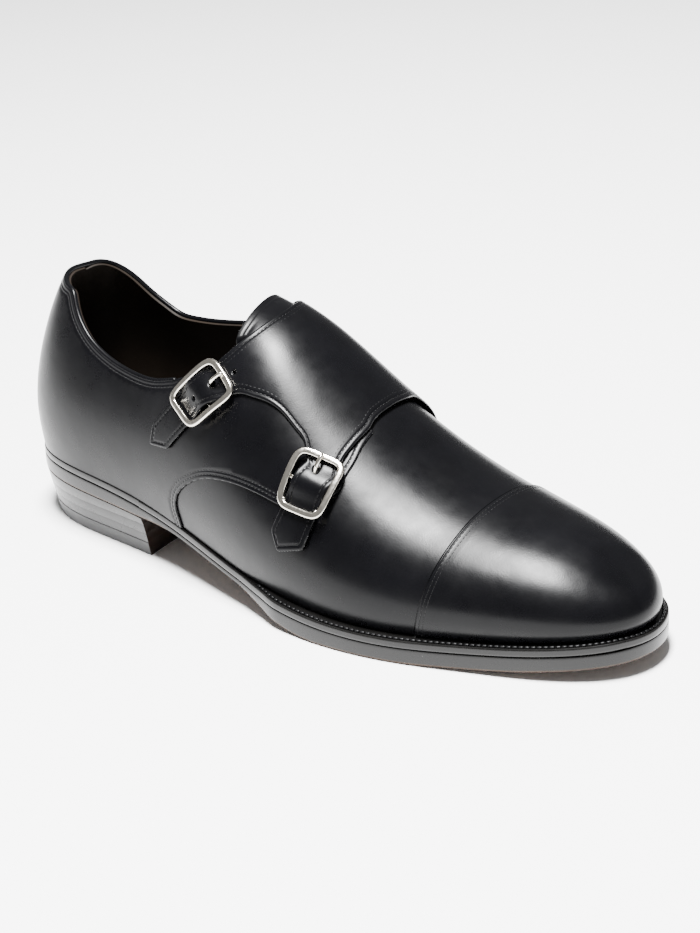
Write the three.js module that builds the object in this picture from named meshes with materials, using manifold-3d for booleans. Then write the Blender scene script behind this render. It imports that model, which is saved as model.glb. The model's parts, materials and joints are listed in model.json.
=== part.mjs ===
// Double monk strap shoe, right foot, about 300 mm long.
//
// Everything is worked out from one smooth last surface. The surface is a net of control points, one row
// for each section from the heel to the toe, and one column for each height from the feather line (where
// upper and sole meet) over the ridge of the instep to the feather line on the other side.
// x runs from the back of the heel to the toe, +y is the inner (medial) side, z is up from the floor.

import * as THREE from 'three';
import Module from 'manifold-3d';

const wasm = await Module();
wasm.setup();

// ------------------------------------------------------------------ driving sizes, mm

const HEEL_CENTRE = 36;        // x of the centre of the heel, which becomes the part's origin
const GAP = 0.3;               // clearance between curved pieces that meet
const WALL = 2.4;              // upper and its lining
const WELT = 3.2;              // welt and heel rand
const MARGIN = 7.3;            // how far the welt reaches in under the upper
const INSOLE = 3;              // insole thickness
const INSOLE_INSET = 3.4;      // insole edge, inwards from the feather line
const BREAST = 76;             // x of the heel's front face
const BREAST_HOLLOW = 2.5;     // how far the middle of that face is scooped back
const CAP_AT = 0.686;          // the toe cap's seam, as a share of the last's length
const CAP_PROUD = 0.5;         // the cap stands this far above the vamp
const CAP_THICK = 1.1;
const CAP_SEAM_GAP = 0.0018;   // the cap's edge keeps clear of the vamp's step, as a share of the length
const CAP_LOWEST = 0.98;       // the cap ends just above the feather line, as a share of the side
const TONGUE = 1.7;
const FLAP_LIFT = 0.9;         // underside of the flap above the last surface
const STRAP = 1.6;             // thickness of the flap and its straps

// Sections of the last. foot and top are heights of the feather line and of the ridge; outer and inner are
// half widths; crest moves the ridge sideways; tuck pulls the feather line in under the widest part;
// side and crown are shares of the half width higher up; lean tips the back line forward.
const SECTIONS = table(
  ['x', 'foot', 'top', 'crest', 'outer', 'inner', 'tuck', 'side', 'crown', 'lean'], [
    [-2, 31, 124, 0, 0, 0, 0, 1, 1, 1],
    [1.5, 31, 124, 0, 24, 24, 1.5, 0.78, 0.45, 0.95],
    [23, 30.8, 124, 0, 36.5, 35, 3, 0.68, 0.43, 0.5],
    [52, 29.6, 122, 0, 39, 36, 3.5, 0.65, 0.43, 0],
    [82, 26.6, 117, 1, 42, 35, 4, 0.69, 0.44, 0],
    [110, 21, 113, 2, 47.5, 36, 5, 0.77, 0.44, 0],
    [137, 15.6, 104, 3, 53, 39, 5, 0.8, 0.42, 0],
    [163, 11.6, 84, 4, 56, 42, 5, 0.82, 0.4, 0],
    [188, 9.8, 66.5, 4, 55.5, 45, 4.5, 0.84, 0.42, 0],
    [212, 9.7, 54.5, 4, 51, 45.5, 4, 0.86, 0.44, 0],
    [235, 10.6, 48.5, 4, 44.5, 42, 3.5, 0.87, 0.45, 0],
    [256, 12.2, 44.8, 4, 37, 36, 3, 0.87, 0.46, 0],
    [274, 14, 40.2, 4, 28.5, 28.5, 2.5, 0.87, 0.47, 0],
    [288.5, 15.6, 35, 4, 17, 17.5, 2, 0.86, 0.48, 0],
    [294, 16.2, 32.5, 4, 0, 0, 0, 1, 1, 0],
  ]);

// Columns of the net from the ridge down to the feather line: share of the height, forward lean of the
// back line at the heel, and the rounding of the front line at the toe.
const COLUMNS = table(
  ['lift', 'lean', 'toe'], [
    [1, 27, -14],
    [0.95, 24, -9],
    [0.66, 7.8, 1.5],
    [0.26, -2.7, 3.5],
    [0, 0, 0],
  ]);
const TOE_SHARES = [0.2, 0.7, 1];   // how much of 'toe' the last three rows take

// Height of the collar's edge along the foot, on each side.
const COLLAR = table(
  ['x', 'outer', 'inner'], [
    [4, 106.2, 106.2],
    [14, 106, 105],
    [24, 104, 98],
    [33, 96, 88.5],
    [44, 87.3, 82],
    [57, 81.8, 81],
    [71, 79.1, 82.6],
    [84, 78.9, 85],
    [95, 82, 87],
    [110, 86, 90],
  ]);

// The throat under the flap, where the collar's edges come together: distance of its edge from the ridge,
// measured over the leather.
const THROAT = table(
  ['x', 'outer', 'inner'], [
    [84, 52.7, 42.7],
    [95, 49.1, 41],
    [103, 45, 38.5],
    [110, 40.5, 33],
    [117, 34.5, 27.5],
    [124, 28, 24],
    [132, 22.5, 21.5],
    [140, 19.5, 19.5],
    [150, 18, 18],
  ]);
const THROAT_ROUND = 18;       // the throat's front end is rounded over this length

// Underside of the outsole along the foot, and how far its corners are rounded up in the waist.
const TREAD = table(
  ['x', 'z', 'bevel'], [
    [-5, 21.6, 0],
    [70, 19, 0],
    [84, 17.9, 0.8],
    [100, 16, 1.4],
    [120, 12.2, 1.4],
    [135, 9.2, 1.2],
    [148, 6, 0.7],
    [160, 2.8, 0.2],
    [172, 0.7, 0],
    [181, 0, 0],
    [213, 0, 0],
    [235, 0.9, 0],
    [252, 2.1, 0],
    [270, 4, 0],
    [285, 5.8, 0],
    [302, 8, 0],
  ]);

// How far the sole's edge stands out from the feather line.
const EDGE = table(
  ['x', 'outer', 'inner'], [
    [-5, 1.2, 1.2],
    [70, 1.4, 1.2],
    [100, 1, 0.2],
    [136, 1.2, 0.4],
    [150, 2.6, 1.4],
    [162, 4.6, 3.4],
    [185, 5, 4.4],
    [230, 5, 4.8],
    [302, 5, 5],
  ]);

// Heel pieces from the floor up: where each starts and ends, and how far its outline is pulled in there.
const HEEL = table(
  ['name', 'bottom', 'top', 'insetBottom', 'insetTop'], [
    ['heel_top_piece', 0, 6, 2.9, 1.7],
    ['heel_lift_1', 6, 10.5, 1.9, 1],
    ['heel_lift_2', 10.5, 15, 1, 0.1],
    ['heel_lift_3', 15, null, 0.1, -1],
  ]);

// The flap over the instep, a row for each line across it from its rear edge to its front edge, starting on
// the inner side. 'over' is the distance over the leather from the ridge, minus towards the outer side.
const FLAP_ROWS = table(
  ['rear', 'rearOver', 'front', 'frontOver'], [
    [98, 52, 171, 52],
    [101, 40, 173.5, 40],
    [108, 29, 175, 29],
    [116, 19, 175.3, 19.5],
    [122.4, 9.5, 175.4, 10],
    [126, 0, 175.7, 0],
    [126.3, -9, 176.5, -10],
    [123.9, -18, 177.1, -19.5],
    [120, -27, 177.4, -29],
    [116, -35.6, 177.8, -37],
  ]);
const FLAP_COLUMNS = [0, 0.135, 0.27, 0.405, 0.53, 0.66, 0.77, 0.885, 1];
const UPPER_STRAP_COLUMNS = [0, 3];      // columns of the flap's last row that run on into each strap
const LOWER_STRAP_COLUMNS = [5, 8];

// The straps, a row for each line across them, from the flap to the pointed tail. A buckle's along and across
// are the change of x and over for each millimetre towards the tail and across the strap.
const TAIL_ROW = 5;            // the row where each strap's tail starts to narrow
const STRAPS = {
  upper: {
    columns: UPPER_STRAP_COLUMNS,
    buckle: { x: 114.6, over: -48.5, length: 24.2, width: 18.6, along: [-0.652, -0.826], across: [0.86, -0.425] },
    rows: table(
      ['rear', 'rearOver', 'front', 'frontOver'], [
        [113.3, -39, 126.1, -46.2],
        [111, -42.1, 121.1, -50.3],
        [108.6, -45.2, 118.1, -54],
        [103.3, -51.5, 112.6, -60.3],
        [97.3, -57.9, 107.2, -66.8],
        [88.8, -67.4, 99.4, -76.6],
        [88.7, -72.2, 93.8, -76.6],
        [89.2, -76.6, 89.2, -76.6],
      ]),
  },
  lower: {
    columns: LOWER_STRAP_COLUMNS,
    buckle: { x: 170.2, over: -48.5, length: 22.4, width: 18.6, along: [-0.012, -0.949], across: [0.943, 0.362] },
    rows: table(
      ['rear', 'rearOver', 'front', 'frontOver'], [
        [165, -41.4, 177.4, -40.6],
        [164.4, -45.5, 177, -44],
        [163.8, -50, 176.7, -48.4],
        [163.2, -57, 176.5, -55],
        [162.2, -64, 176.2, -61.8],
        [160.3, -72.6, 175, -70.2],
        [162, -76, 170.5, -75],
        [163.8, -79.4, 163.8, -79.4],
      ]),
  },
};
const WIRE = 1.1;              // radius of the buckle's frame
const BAR = 0.75;              // radius of its centre bar
const FRAME_LIFT = 4.1;        // middle of the frame above the last surface
const BAR_LIFT = 2.6;
const STRAP_CREST = 3.7;       // underside of the strap where it climbs over the centre bar
const HUMP_FLAT = 1.2;         // half the length over which the strap stays at its crest
const HUMP_SHORT = 2.8;        // the climb ends this far short of the frame's ends
const PRONG = 0.75;
const HOLE = 1.6;              // radius of the hole in the strap for the prong

// ------------------------------------------------------------------ tables and small maths

function table(names, rows) {
  return rows.map((values) => Object.fromEntries(names.map((name, i) => [name, values[i]])));
}

// A smooth curve through one column of a table, without overshoot.
function curve(rows, value, at = 'x') {
  const p = rows.map((row) => row[at]);
  const q = rows.map((row) => row[value]);
  const slopes = p.slice(1).map((next, i) => (q[i + 1] - q[i]) / (next - p[i]));
  const tangents = p.map((_, i) => {
    const before = slopes[Math.max(i - 1, 0)];
    const after = slopes[Math.min(i, slopes.length - 1)];
    return before * after > 0 ? (2 * before * after) / (before + after) : 0;
  });
  return (where) => {
    const s = THREE.MathUtils.clamp(where, p[0], p.at(-1));
    const i = Math.max(0, p.findIndex((edge) => edge >= s) - 1);
    const span = p[i + 1] - p[i];
    const t = (s - p[i]) / span;
    const rise = t * t * (3 - 2 * t);
    const start = t * (1 - t) * (1 - t) * span * tangents[i];
    const end = t * t * (t - 1) * span * tangents[i + 1];
    return q[i] + (q[i + 1] - q[i]) * rise + start + end;
  };
}

const range = (count) => Array.from({ length: count }, (_, i) => i);
const lerp = THREE.MathUtils.lerp;
const smooth = THREE.MathUtils.smoothstep;

// The value in [low, high] where a rising function reaches the target.
function solve(rising, target, low, high) {
  for (let step = 0; step < 40; step += 1) {
    const middle = (low + high) / 2;
    if (rising(middle) < target) low = middle;
    else high = middle;
  }
  return (low + high) / 2;
}

// ------------------------------------------------------------------ the last

const ROWS = SECTIONS.length - 1;
const SIDE = COLUMNS.length - 1;

const net = SECTIONS.map((section, i) => range(2 * SIDE + 1).map((place) => {
  const outerSide = place < SIDE;
  const k = Math.abs(place - SIDE);
  const column = COLUMNS[k];
  const half = outerSide ? section.outer : section.inner;
  const widths = [0, half * section.crown, half * section.side, half, Math.max(0, half - section.tuck)];
  const toeShare = TOE_SHARES[i - (ROWS - 2)] ?? 0;
  const shift = k < SIDE ? section.crest * column.lift : toeCentre(i, section);
  return new THREE.Vector3(
    section.x + section.lean * column.lean + toeShare * column.toe,
    (outerSide ? -widths[k] : widths[k]) + shift,
    section.foot + (section.top - section.foot) * column.lift,
  );
}));

// The feather line's own sideways curve near the toe.
function toeCentre(i, section) {
  return i >= ROWS - 4 ? 0.6 * section.crest : 0;
}

// Control points beyond the net: past the heel and toe the sides change places, below the feather line
// the net runs straight on.
function control(i, j) {
  if (i < 0) return control(-i, -j);
  if (i > ROWS) return control(2 * ROWS - i, -j);
  if (Math.abs(j) <= SIDE) return net[i][j + SIDE];
  const edge = Math.sign(j) * SIDE;
  const inside = Math.sign(j) * (SIDE - 1);
  return net[i][edge + SIDE].clone().multiplyScalar(2).sub(net[i][inside + SIDE]);
}

const spline = (t) => [
  (1 - t) ** 3 / 6,
  (3 * t ** 3 - 6 * t ** 2 + 4) / 6,
  (-3 * t ** 3 + 3 * t ** 2 + 3 * t + 1) / 6,
  t ** 3 / 6,
];

// A point of the last: u from 0 at the heel to 1 at the toe, v from -1 at the outer feather line over 0 at
// the ridge to 1 at the inner feather line.
function last(u, v) {
  const i = Math.floor(u * ROWS);
  const j = THREE.MathUtils.clamp(Math.floor(v * SIDE), -SIDE, SIDE - 1);
  const along = spline(u * ROWS - i);
  const across = spline(v * SIDE - j);
  const point = new THREE.Vector3();
  along.forEach((a, di) => across.forEach((b, dj) => {
    point.addScaledVector(control(i + di - 1, j + dj - 1), a * b);
  }));
  return point;
}

const STEP = 1e-3;

function normal(u, v) {
  const along = last(u + STEP, v).sub(last(u - STEP, v));
  const across = last(u, v + STEP).sub(last(u, v - STEP));
  return along.cross(across).normalize();
}

// A point at a height above (or, when negative, below) the last surface.
function skin(u, v, lift) {
  return last(u, v).addScaledVector(normal(u, v), lift);
}

// Where along the last a given x lies, on the ridge of the middle of the foot.
const stationCache = new Map();
function station(x) {
  if (!stationCache.has(x)) stationCache.set(x, solve((u) => last(u, 0.5).x, x, 0, 1));
  return stationCache.get(x);
}

// The column v at a distance over the leather from the ridge, minus towards the outer side.
const GIRTH_STEPS = 48;
function columnAt(u, over) {
  const sign = Math.sign(over) || 1;
  let before = last(u, 0);
  let walked = 0;
  for (let k = 1; k <= GIRTH_STEPS; k += 1) {
    const next = last(u, (sign * k) / GIRTH_STEPS);
    const length = next.distanceTo(before);
    if (walked + length >= Math.abs(over)) return (sign * (k - 1 + (Math.abs(over) - walked) / length)) / GIRTH_STEPS;
    walked += length;
    before = next;
  }
  return sign;
}

function onLast(x, over, lift) {
  const u = station(x);
  return skin(u, columnAt(u, over), lift);
}

// ------------------------------------------------------------------ closed solids from sheets of points

// Gathers faces by position, so that sheets sharing an edge become one skin and walls that lie
// back to back inside a solid vanish.
class Solid {
  constructor() {
    this.points = [];
    this.lookup = new Map();
    this.faces = new Map();
  }

  vertex(point) {
    const key = [point.x, point.y, point.z].map((value) => Math.round(value * 1e4)).join();
    if (!this.lookup.has(key)) {
      this.lookup.set(key, this.points.length);
      this.points.push(point);
    }
    return this.lookup.get(key);
  }

  triangle(a, b, c) {
    if (a === b || b === c || c === a) return;
    const key = [a, b, c].sort((m, n) => m - n).join();
    if (this.faces.has(key)) this.faces.delete(key);
    else this.faces.set(key, [a, b, c]);
  }

  // A four-sided face, always cut through its lowest-numbered corner.
  quad(...corners) {
    const [a, b, c, d] = corners.map((corner) => this.vertex(corner));
    if (Math.min(a, c) < Math.min(b, d)) {
      this.triangle(a, b, c);
      this.triangle(a, c, d);
    } else {
      this.triangle(b, c, d);
      this.triangle(b, d, a);
    }
  }

  // A slab between two sheets of points with the same rows and columns, and its four side walls.
  slab(face, back) {
    const rows = face.length - 1;
    const columns = face[0].length - 1;
    const wall = (i, j, m, n) => this.quad(face[m][n], face[i][j], back[i][j], back[m][n]);
    range(rows).forEach((i) => range(columns).forEach((j) => {
      this.quad(face[i][j], face[i + 1][j], face[i + 1][j + 1], face[i][j + 1]);
      this.quad(back[i][j], back[i][j + 1], back[i + 1][j + 1], back[i + 1][j]);
    }));
    range(rows).forEach((i) => {
      wall(i, 0, i + 1, 0);
      wall(i + 1, columns, i, columns);
    });
    range(columns).forEach((j) => {
      wall(0, j + 1, 0, j);
      wall(rows, j, rows, j + 1);
    });
    return this;
  }

  volume() {
    return [...this.faces.values()].reduce((sum, corners) => {
      const [a, b, c] = corners.map((corner) => this.points[corner]);
      return sum + a.dot(b.clone().cross(c)) / 6;
    }, 0);
  }

  // The faces, turned so that they point out.
  outward() {
    const faces = [...this.faces.values()];
    return this.volume() > 0 ? faces : faces.map(([a, b, c]) => [a, c, b]);
  }

  geometry() {
    const geometry = new THREE.BufferGeometry();
    const position = this.points.flatMap((point) => point.toArray());
    geometry.setAttribute('position', new THREE.Float32BufferAttribute(position, 3));
    geometry.setIndex(this.outward().flat());
    geometry.computeVertexNormals();
    return geometry;
  }
}

const slab = (face, back) => new Solid().slab(face, back).geometry();

// A three.js geometry as one welded solid, for joining and cutting.
function toManifold(geometry) {
  const solid = new Solid();
  const flat = geometry.index ? geometry.toNonIndexed() : geometry;
  const corners = range(flat.attributes.position.count)
    .map((i) => solid.vertex(new THREE.Vector3().fromBufferAttribute(flat.attributes.position, i)));
  range(corners.length / 3).forEach((i) => solid.triangle(...corners.slice(3 * i, 3 * i + 3)));
  return new wasm.Manifold(new wasm.Mesh({
    numProp: 3,
    vertProperties: new Float32Array(solid.points.flatMap((point) => point.toArray())),
    triVerts: new Uint32Array(solid.outward().flat()),
  }));
}

function fromManifold(manifold) {
  const mesh = manifold.getMesh();
  const geometry = new THREE.BufferGeometry();
  geometry.setAttribute('position', new THREE.BufferAttribute(mesh.vertProperties, 3));
  geometry.setIndex(new THREE.BufferAttribute(mesh.triVerts, 1));
  geometry.computeVertexNormals();
  return geometry;
}

// ------------------------------------------------------------------ finishes

const finish = (color, roughness, metalness = 0) => new THREE.MeshStandardMaterial({ color, roughness, metalness });
const calf = () => finish(0x17171a, 0.32);
const edgeBlack = () => finish(0x2a2a2c, 0.4);
const soleLeather = () => finish(0x4a3a2c, 0.55);
const liningLeather = () => finish(0x5b4634, 0.6);
const nickel = () => finish(0xd8d4c8, 0.22, 1);

const shoe = new THREE.Group();
shoe.position.x = -HEEL_CENTRE;

function piece(name, geometry, material) {
  const mesh = new THREE.Mesh(geometry, material);
  mesh.name = name;
  shoe.add(mesh);
}

// ------------------------------------------------------------------ outlines of the sole

const tread = curve(TREAD, 'z');
const bevel = curve(TREAD, 'bevel');
const edgeOut = { outer: curve(EDGE, 'outer'), inner: curve(EDGE, 'inner') };

const SOLE_STEPS = 40;
const soleStations = range(SOLE_STEPS + 1).map((i) => {
  const t = i / SOLE_STEPS;
  return lerp(t, (1 - Math.cos(Math.PI * t)) / 2, 0.35);
});
const breastStation = station(BREAST);

// A point of the feather line moved outwards in plan; side is -1 for the outer side, 1 for the inner side.
function outline(u, side, out) {
  const point = last(u, side);
  const along = last(u + STEP, side).sub(last(u - STEP, side));
  const outwards = new THREE.Vector3(-along.y * side, along.x * side, 0).normalize();
  return point.addScaledVector(outwards, out);
}

function soleEdge(u, side) {
  const out = side < 0 ? edgeOut.outer : edgeOut.inner;
  return outline(u, side, out(last(u, side).x));
}

const atHeight = (point, z) => new THREE.Vector3(point.x, point.y, z);

// Height of the feather line over the floor, by x.
const seat = curve(soleStations.map((u) => last(u, -1)), 'z');

// ------------------------------------------------------------------ outsole

// Across the sole: share of the way between the two inner lines of the welt.
const SOLE_COLUMNS = [0, 0.25, 0.5, 0.75, 1];

function outsole() {
  const top = [];
  const bottom = [];
  soleStations.forEach((u) => {
    const edges = [soleEdge(u, -1), soleEdge(u, 1)];
    const inner = [outline(u, -1, -MARGIN), outline(u, 1, -MARGIN)];
    const middle = SOLE_COLUMNS.map((share) => inner[0].clone().lerp(inner[1], share));
    const across = [edges[0], inner[0], ...middle, inner[1], edges[1]];
    top.push(across.map((point, j) => {
      const underWelt = j < 2 || j > across.length - 3;
      return atHeight(point, seat(point.x) - GAP - (underWelt ? WELT + GAP : 0));
    }));
    bottom.push(across.map((point, j) => {
      const corner = j === 0 || j === across.length - 1 ? 1 : 0;
      const nearEdge = j <= 2 || j >= across.length - 3 ? 1 : 0;
      const lift = bevel(point.x) * (corner ? 1 : nearEdge * 0.25);
      return atHeight(point, tread(point.x) + lift);
    }));
  });
  return slab(top, bottom);
}

// ------------------------------------------------------------------ welt and heel rand

// A strip that follows the sole's edge through the given stations of both sides.
function strip(stations) {
  const walk = stations.map(([u, side]) => [soleEdge(u, side), outline(u, side, -(MARGIN - GAP))]);
  const sheet = (drop) => walk.map((row) => row.map((point) => atHeight(point, seat(point.x) - drop)));
  return slab(sheet(GAP), sheet(GAP + WELT));
}

function welt() {
  const front = [breastStation + 0.002, ...soleStations.filter((u) => u > breastStation + 0.01)];
  return strip([...front.map((u) => [u, -1]), ...front.toReversed().map((u) => [u, 1])]);
}

function heelRand() {
  const back = [...soleStations.filter((u) => u < breastStation - 0.01), breastStation - 0.002];
  return strip([...back.toReversed().map((u) => [u, -1]), ...back.map((u) => [u, 1])]);
}

// ------------------------------------------------------------------ heel

const HEEL_COLUMNS = [0, 0.25, 0.5, 0.75, 1];

function heelPiece({ bottom, top, insetBottom, insetTop }) {
  const stations = [...soleStations.filter((u) => u < breastStation - 0.012), breastStation];
  const sheet = (inset, height) => stations.map((u, i) => {
    const sides = [outline(u, -1, -inset), outline(u, 1, -inset)];
    const hollow = i === stations.length - 1 ? BREAST_HOLLOW : 0;
    return HEEL_COLUMNS.map((share) => {
      const point = sides[0].clone().lerp(sides[1], share);
      point.x -= hollow * 4 * share * (1 - share);
      return atHeight(point, height ?? tread(point.x) - GAP);
    });
  });
  return slab(sheet(insetTop, top), sheet(insetBottom, bottom));
}

// ------------------------------------------------------------------ insole

function insole() {
  const sheet = (rise) => soleStations.map((u) => {
    const sides = [outline(u, -1, -INSOLE_INSET), outline(u, 1, -INSOLE_INSET)];
    return SOLE_COLUMNS.map((share) => {
      const point = sides[0].clone().lerp(sides[1], share);
      return atHeight(point, seat(point.x) + rise);
    });
  });
  return slab(sheet(INSOLE), sheet(0));
}

// ------------------------------------------------------------------ upper

const collarHeight = { '-1': curve(COLLAR, 'outer'), 1: curve(COLLAR, 'inner') };
const throatWidth = { '-1': curve(THROAT, 'outer'), 1: curve(THROAT, 'inner') };
const THROAT_FRONT = THROAT.at(-1).x;
const [THROAT_START, THROAT_ALONE] = THROAT.map((row) => row.x);

// Distance of the throat's edge from the ridge at x, with a round front end.
function throatHalf(x, side) {
  const into = THREE.MathUtils.clamp((x - THROAT_FRONT) / THROAT_ROUND + 1, 0, 1);
  return throatWidth[side](x) * Math.sqrt(1 - into * into);
}

// The column v of the opening's edge at a station: first the collar, then the throat.
function openingColumn(u, side) {
  const { x } = last(u, 0.5 * side);
  if (x >= THROAT_FRONT) return 0;
  const throat = columnAt(u, side * throatHalf(x, side));
  if (x >= THROAT_ALONE) return throat;
  const aboveCollar = (v) => {
    const point = last(u, side * v);
    return collarHeight[side](point.x) - point.z;
  };
  const collar = side * solve(aboveCollar, 0, 0, 1);
  return lerp(collar, throat, smooth(x, THROAT_START, THROAT_ALONE));
}

const UPPER_STEPS = 42;
const DOWN_STEPS = 10;
const throatEnd = station(THROAT_FRONT);
const throatStart = station(THROAT_START);
const upperStations = [
  ...range(UPPER_STEPS + 1).map((i) => i / UPPER_STEPS)
    .filter((u) => Math.abs(u - CAP_AT) > 0.006),
  ...range(UPPER_STEPS).map((i) => (i + 0.5) / UPPER_STEPS)
    .filter((u) => u > throatStart && u < throatEnd),
].filter((u) => Math.abs(u - throatEnd) > 0.009)
  .concat([throatEnd - 0.0035, throatEnd, CAP_AT])
  .sort((a, b) => a - b);

// The stations in walking order: outer side from toe to heel, then inner side from heel to toe.
const aroundUpper = [
  ...upperStations.toReversed().map((u) => [u, -1]),
  ...upperStations.slice(1).map((u) => [u, 1]),
];

function sideColumns(u, side) {
  const edge = openingColumn(u, side);
  return range(DOWN_STEPS + 1).map((k) => lerp(edge, side, k / DOWN_STEPS));
}

function upper() {
  const recess = CAP_THICK + GAP - CAP_PROUD;
  const face = [];
  const back = [];
  aroundUpper.forEach(([u, side]) => {
    const columns = sideColumns(u, side);
    const outerSheet = (drop) => columns.map((v) => skin(u, v, -drop));
    const innerSheet = columns.map((v) => skin(u, v, -WALL));
    const drops = u > CAP_AT ? [recess] : [0];
    if (u === CAP_AT) drops.splice(side < 0 ? 0 : 1, 0, recess);
    drops.forEach((drop) => {
      face.push(outerSheet(drop));
      back.push(innerSheet);
    });
  });
  return slab(face, back);
}

// ------------------------------------------------------------------ toe cap

function toeCap() {
  const seam = CAP_AT + CAP_SEAM_GAP;
  const stations = [seam, ...upperStations.filter((u) => u > seam)];
  const solid = new Solid();
  [-1, 1].forEach((side) => {
    const sheet = (lift) => stations.map((u) => range(DOWN_STEPS + 1)
      .map((k) => skin(u, (side * CAP_LOWEST * k) / DOWN_STEPS, lift)));
    const sheets = [sheet(CAP_PROUD), sheet(CAP_PROUD - CAP_THICK)];
    solid.slab(...(side < 0 ? sheets : sheets.toReversed()));
  });
  return solid.geometry();
}

// ------------------------------------------------------------------ tongue

// The tongue's top edge, from the outer side to the inner side.
const TONGUE_EDGE = table(
  ['over', 'x'], [
    [-31, 121.5],
    [-22, 118.8],
    [-13.5, 118.1],
    [-1, 116.1],
    [12, 112.7],
    [22, 108.7],
    [31, 106],
  ]);

// The tongue from its top edge, share 0, to its front end, and half its width over the leather.
const TONGUE_ROWS = table(
  ['share', 'half'], [
    [0, 27.5],
    [0.04, 30],
    [0.13, 31.2],
    [0.26, 31.5],
    [0.4, 31.5],
    [0.55, 31],
    [0.7, 30],
    [0.85, 28],
    [1, 24],
  ]);
const TONGUE_FRONT = 163;
const TONGUE_COLUMNS = [-1, -0.85, -0.7, -0.52, -0.26, 0, 0.26, 0.52, 0.7, 0.85, 1];
const TONGUE_BURIED = 1;       // how far it lies below the lining under the quarters
const TONGUE_CLEAR = 2;        // room between the tongue's swell and the throat's edges
const TONGUE_SLOPE = 8;        // the swell dies away over this width
const SWELL_ENDS = [130, 147]; // and over this length

// The tongue lies under the vamp and the quarters and swells up into the throat between them.
function tongue() {
  const topEdge = curve(TONGUE_EDGE, 'x', 'over');
  const sheet = (drop) => TONGUE_ROWS.map(({ share, half }) => TONGUE_COLUMNS.map((column) => {
    const over = column * half;
    const x = lerp(topEdge(over), TONGUE_FRONT, share);
    const room = throatHalf(x, over < 0 ? -1 : 1) - TONGUE_CLEAR - Math.abs(over);
    const swell = smooth(room, 0, TONGUE_SLOPE) * (1 - smooth(x, ...SWELL_ENDS));
    return onLast(x, over, -(WALL + TONGUE_BURIED) * (1 - swell) - drop);
  }));
  return slab(sheet(0), sheet(TONGUE));
}

// ------------------------------------------------------------------ flap and straps

// How far along a strap, towards the tail, and across it a place lies from the buckle's centre.
function fromBuckle({ x, over, along, across }, placeX, placeOver) {
  const [dx, dOver] = [placeX - x, placeOver - over];
  const area = along[0] * across[1] - along[1] * across[0];
  return [
    (dx * across[1] - dOver * across[0]) / area,
    (dOver * along[0] - dx * along[1]) / area,
  ];
}

// The strap's height above the last: low under the ends of the buckle, high over its centre bar.
function strapLift(x, over) {
  const rises = Object.values(STRAPS).map(({ buckle }) => {
    const [a, b] = fromBuckle(buckle, x, over);
    const hump = 1 - smooth(Math.abs(a), HUMP_FLAT, buckle.length / 2 - HUMP_SHORT);
    const onStrap = 1 - smooth(Math.abs(b), buckle.width / 2, buckle.width);
    return hump * onStrap;
  });
  return lerp(FLAP_LIFT, STRAP_CREST, Math.max(...rises));
}

const strapSpot = (x, over, extra) => onLast(x, over, strapLift(x, over) + extra);

function rowPoints(row, shares) {
  return shares.map((share) => [lerp(row.rear, row.front, share), lerp(row.rearOver, row.frontOver, share)]);
}

// Rows between two rows of points.
function between(first, second, count) {
  return range(count).map((i) => first.map(([x, over], j) => [
    lerp(x, second[j][0], (i + 1) / count),
    lerp(over, second[j][1], (i + 1) / count),
  ]));
}

function flap() {
  const solid = new Solid();
  const add = (rows) => {
    const sheet = (extra) => rows.map((row) => row.map(([x, over]) => strapSpot(x, over, extra)));
    solid.slab(sheet(0), sheet(STRAP));
  };
  const main = FLAP_ROWS.map((row) => rowPoints(row, FLAP_COLUMNS));
  add(main);
  Object.values(STRAPS).forEach((strap) => {
    const [from, to] = strap.columns;
    const root = main.at(-1).slice(from, to + 1);
    const shares = range(to - from + 1).map((k) => k / (to - from));
    const rows = [root];
    strap.rows.forEach((row, i) => {
      const next = rowPoints(row, shares);
      rows.push(...between(rows.at(-1), next, i <= TAIL_ROW ? 2 : 1));
    });
    add(rows);
  });
  return solid.geometry();
}

// ------------------------------------------------------------------ buckles

// A point of a buckle: so far along the strap, across it, and above the last.
function onBuckle({ buckle }, a, b, lift) {
  const { x, over, along, across } = buckle;
  return onLast(x + a * along[0] + b * across[0], over + a * along[1] + b * across[1], lift);
}

const FRAME_STEPS = 32;
const FRAME_SIDES = 6;
const SQUARENESS = 5;          // 2 is an oval frame, larger is squarer

function tube(curvePath, radius, steps) {
  const section = new THREE.Shape();
  range(FRAME_SIDES).forEach((k) => {
    const angle = (2 * Math.PI * k) / FRAME_SIDES;
    const method = k ? 'lineTo' : 'moveTo';
    section[method](radius * Math.cos(angle), radius * Math.sin(angle));
  });
  return new THREE.ExtrudeGeometry(section, { steps, extrudePath: curvePath, bevelEnabled: false });
}

const rod = (from, to, radius) => toManifold(tube(new THREE.LineCurve3(from, to), radius, 1));

function buckle(strap) {
  const { length, width } = strap.buckle;
  const bend = (value) => Math.sign(value) * Math.abs(value) ** (2 / SQUARENESS);
  const ring = range(FRAME_STEPS).map((k) => {
    const angle = (2 * Math.PI * k) / FRAME_STEPS;
    const a = (length / 2) * bend(Math.cos(angle));
    const b = (width / 2) * bend(Math.sin(angle));
    return onBuckle(strap, a, b, FRAME_LIFT);
  });
  const frame = tube(new THREE.CatmullRomCurve3(ring, true), WIRE, FRAME_STEPS);
  const bar = rod(onBuckle(strap, 0, -width / 2, BAR_LIFT), onBuckle(strap, 0, width / 2, BAR_LIFT), BAR);
  return fromManifold(toManifold(frame).add(bar));
}

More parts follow.
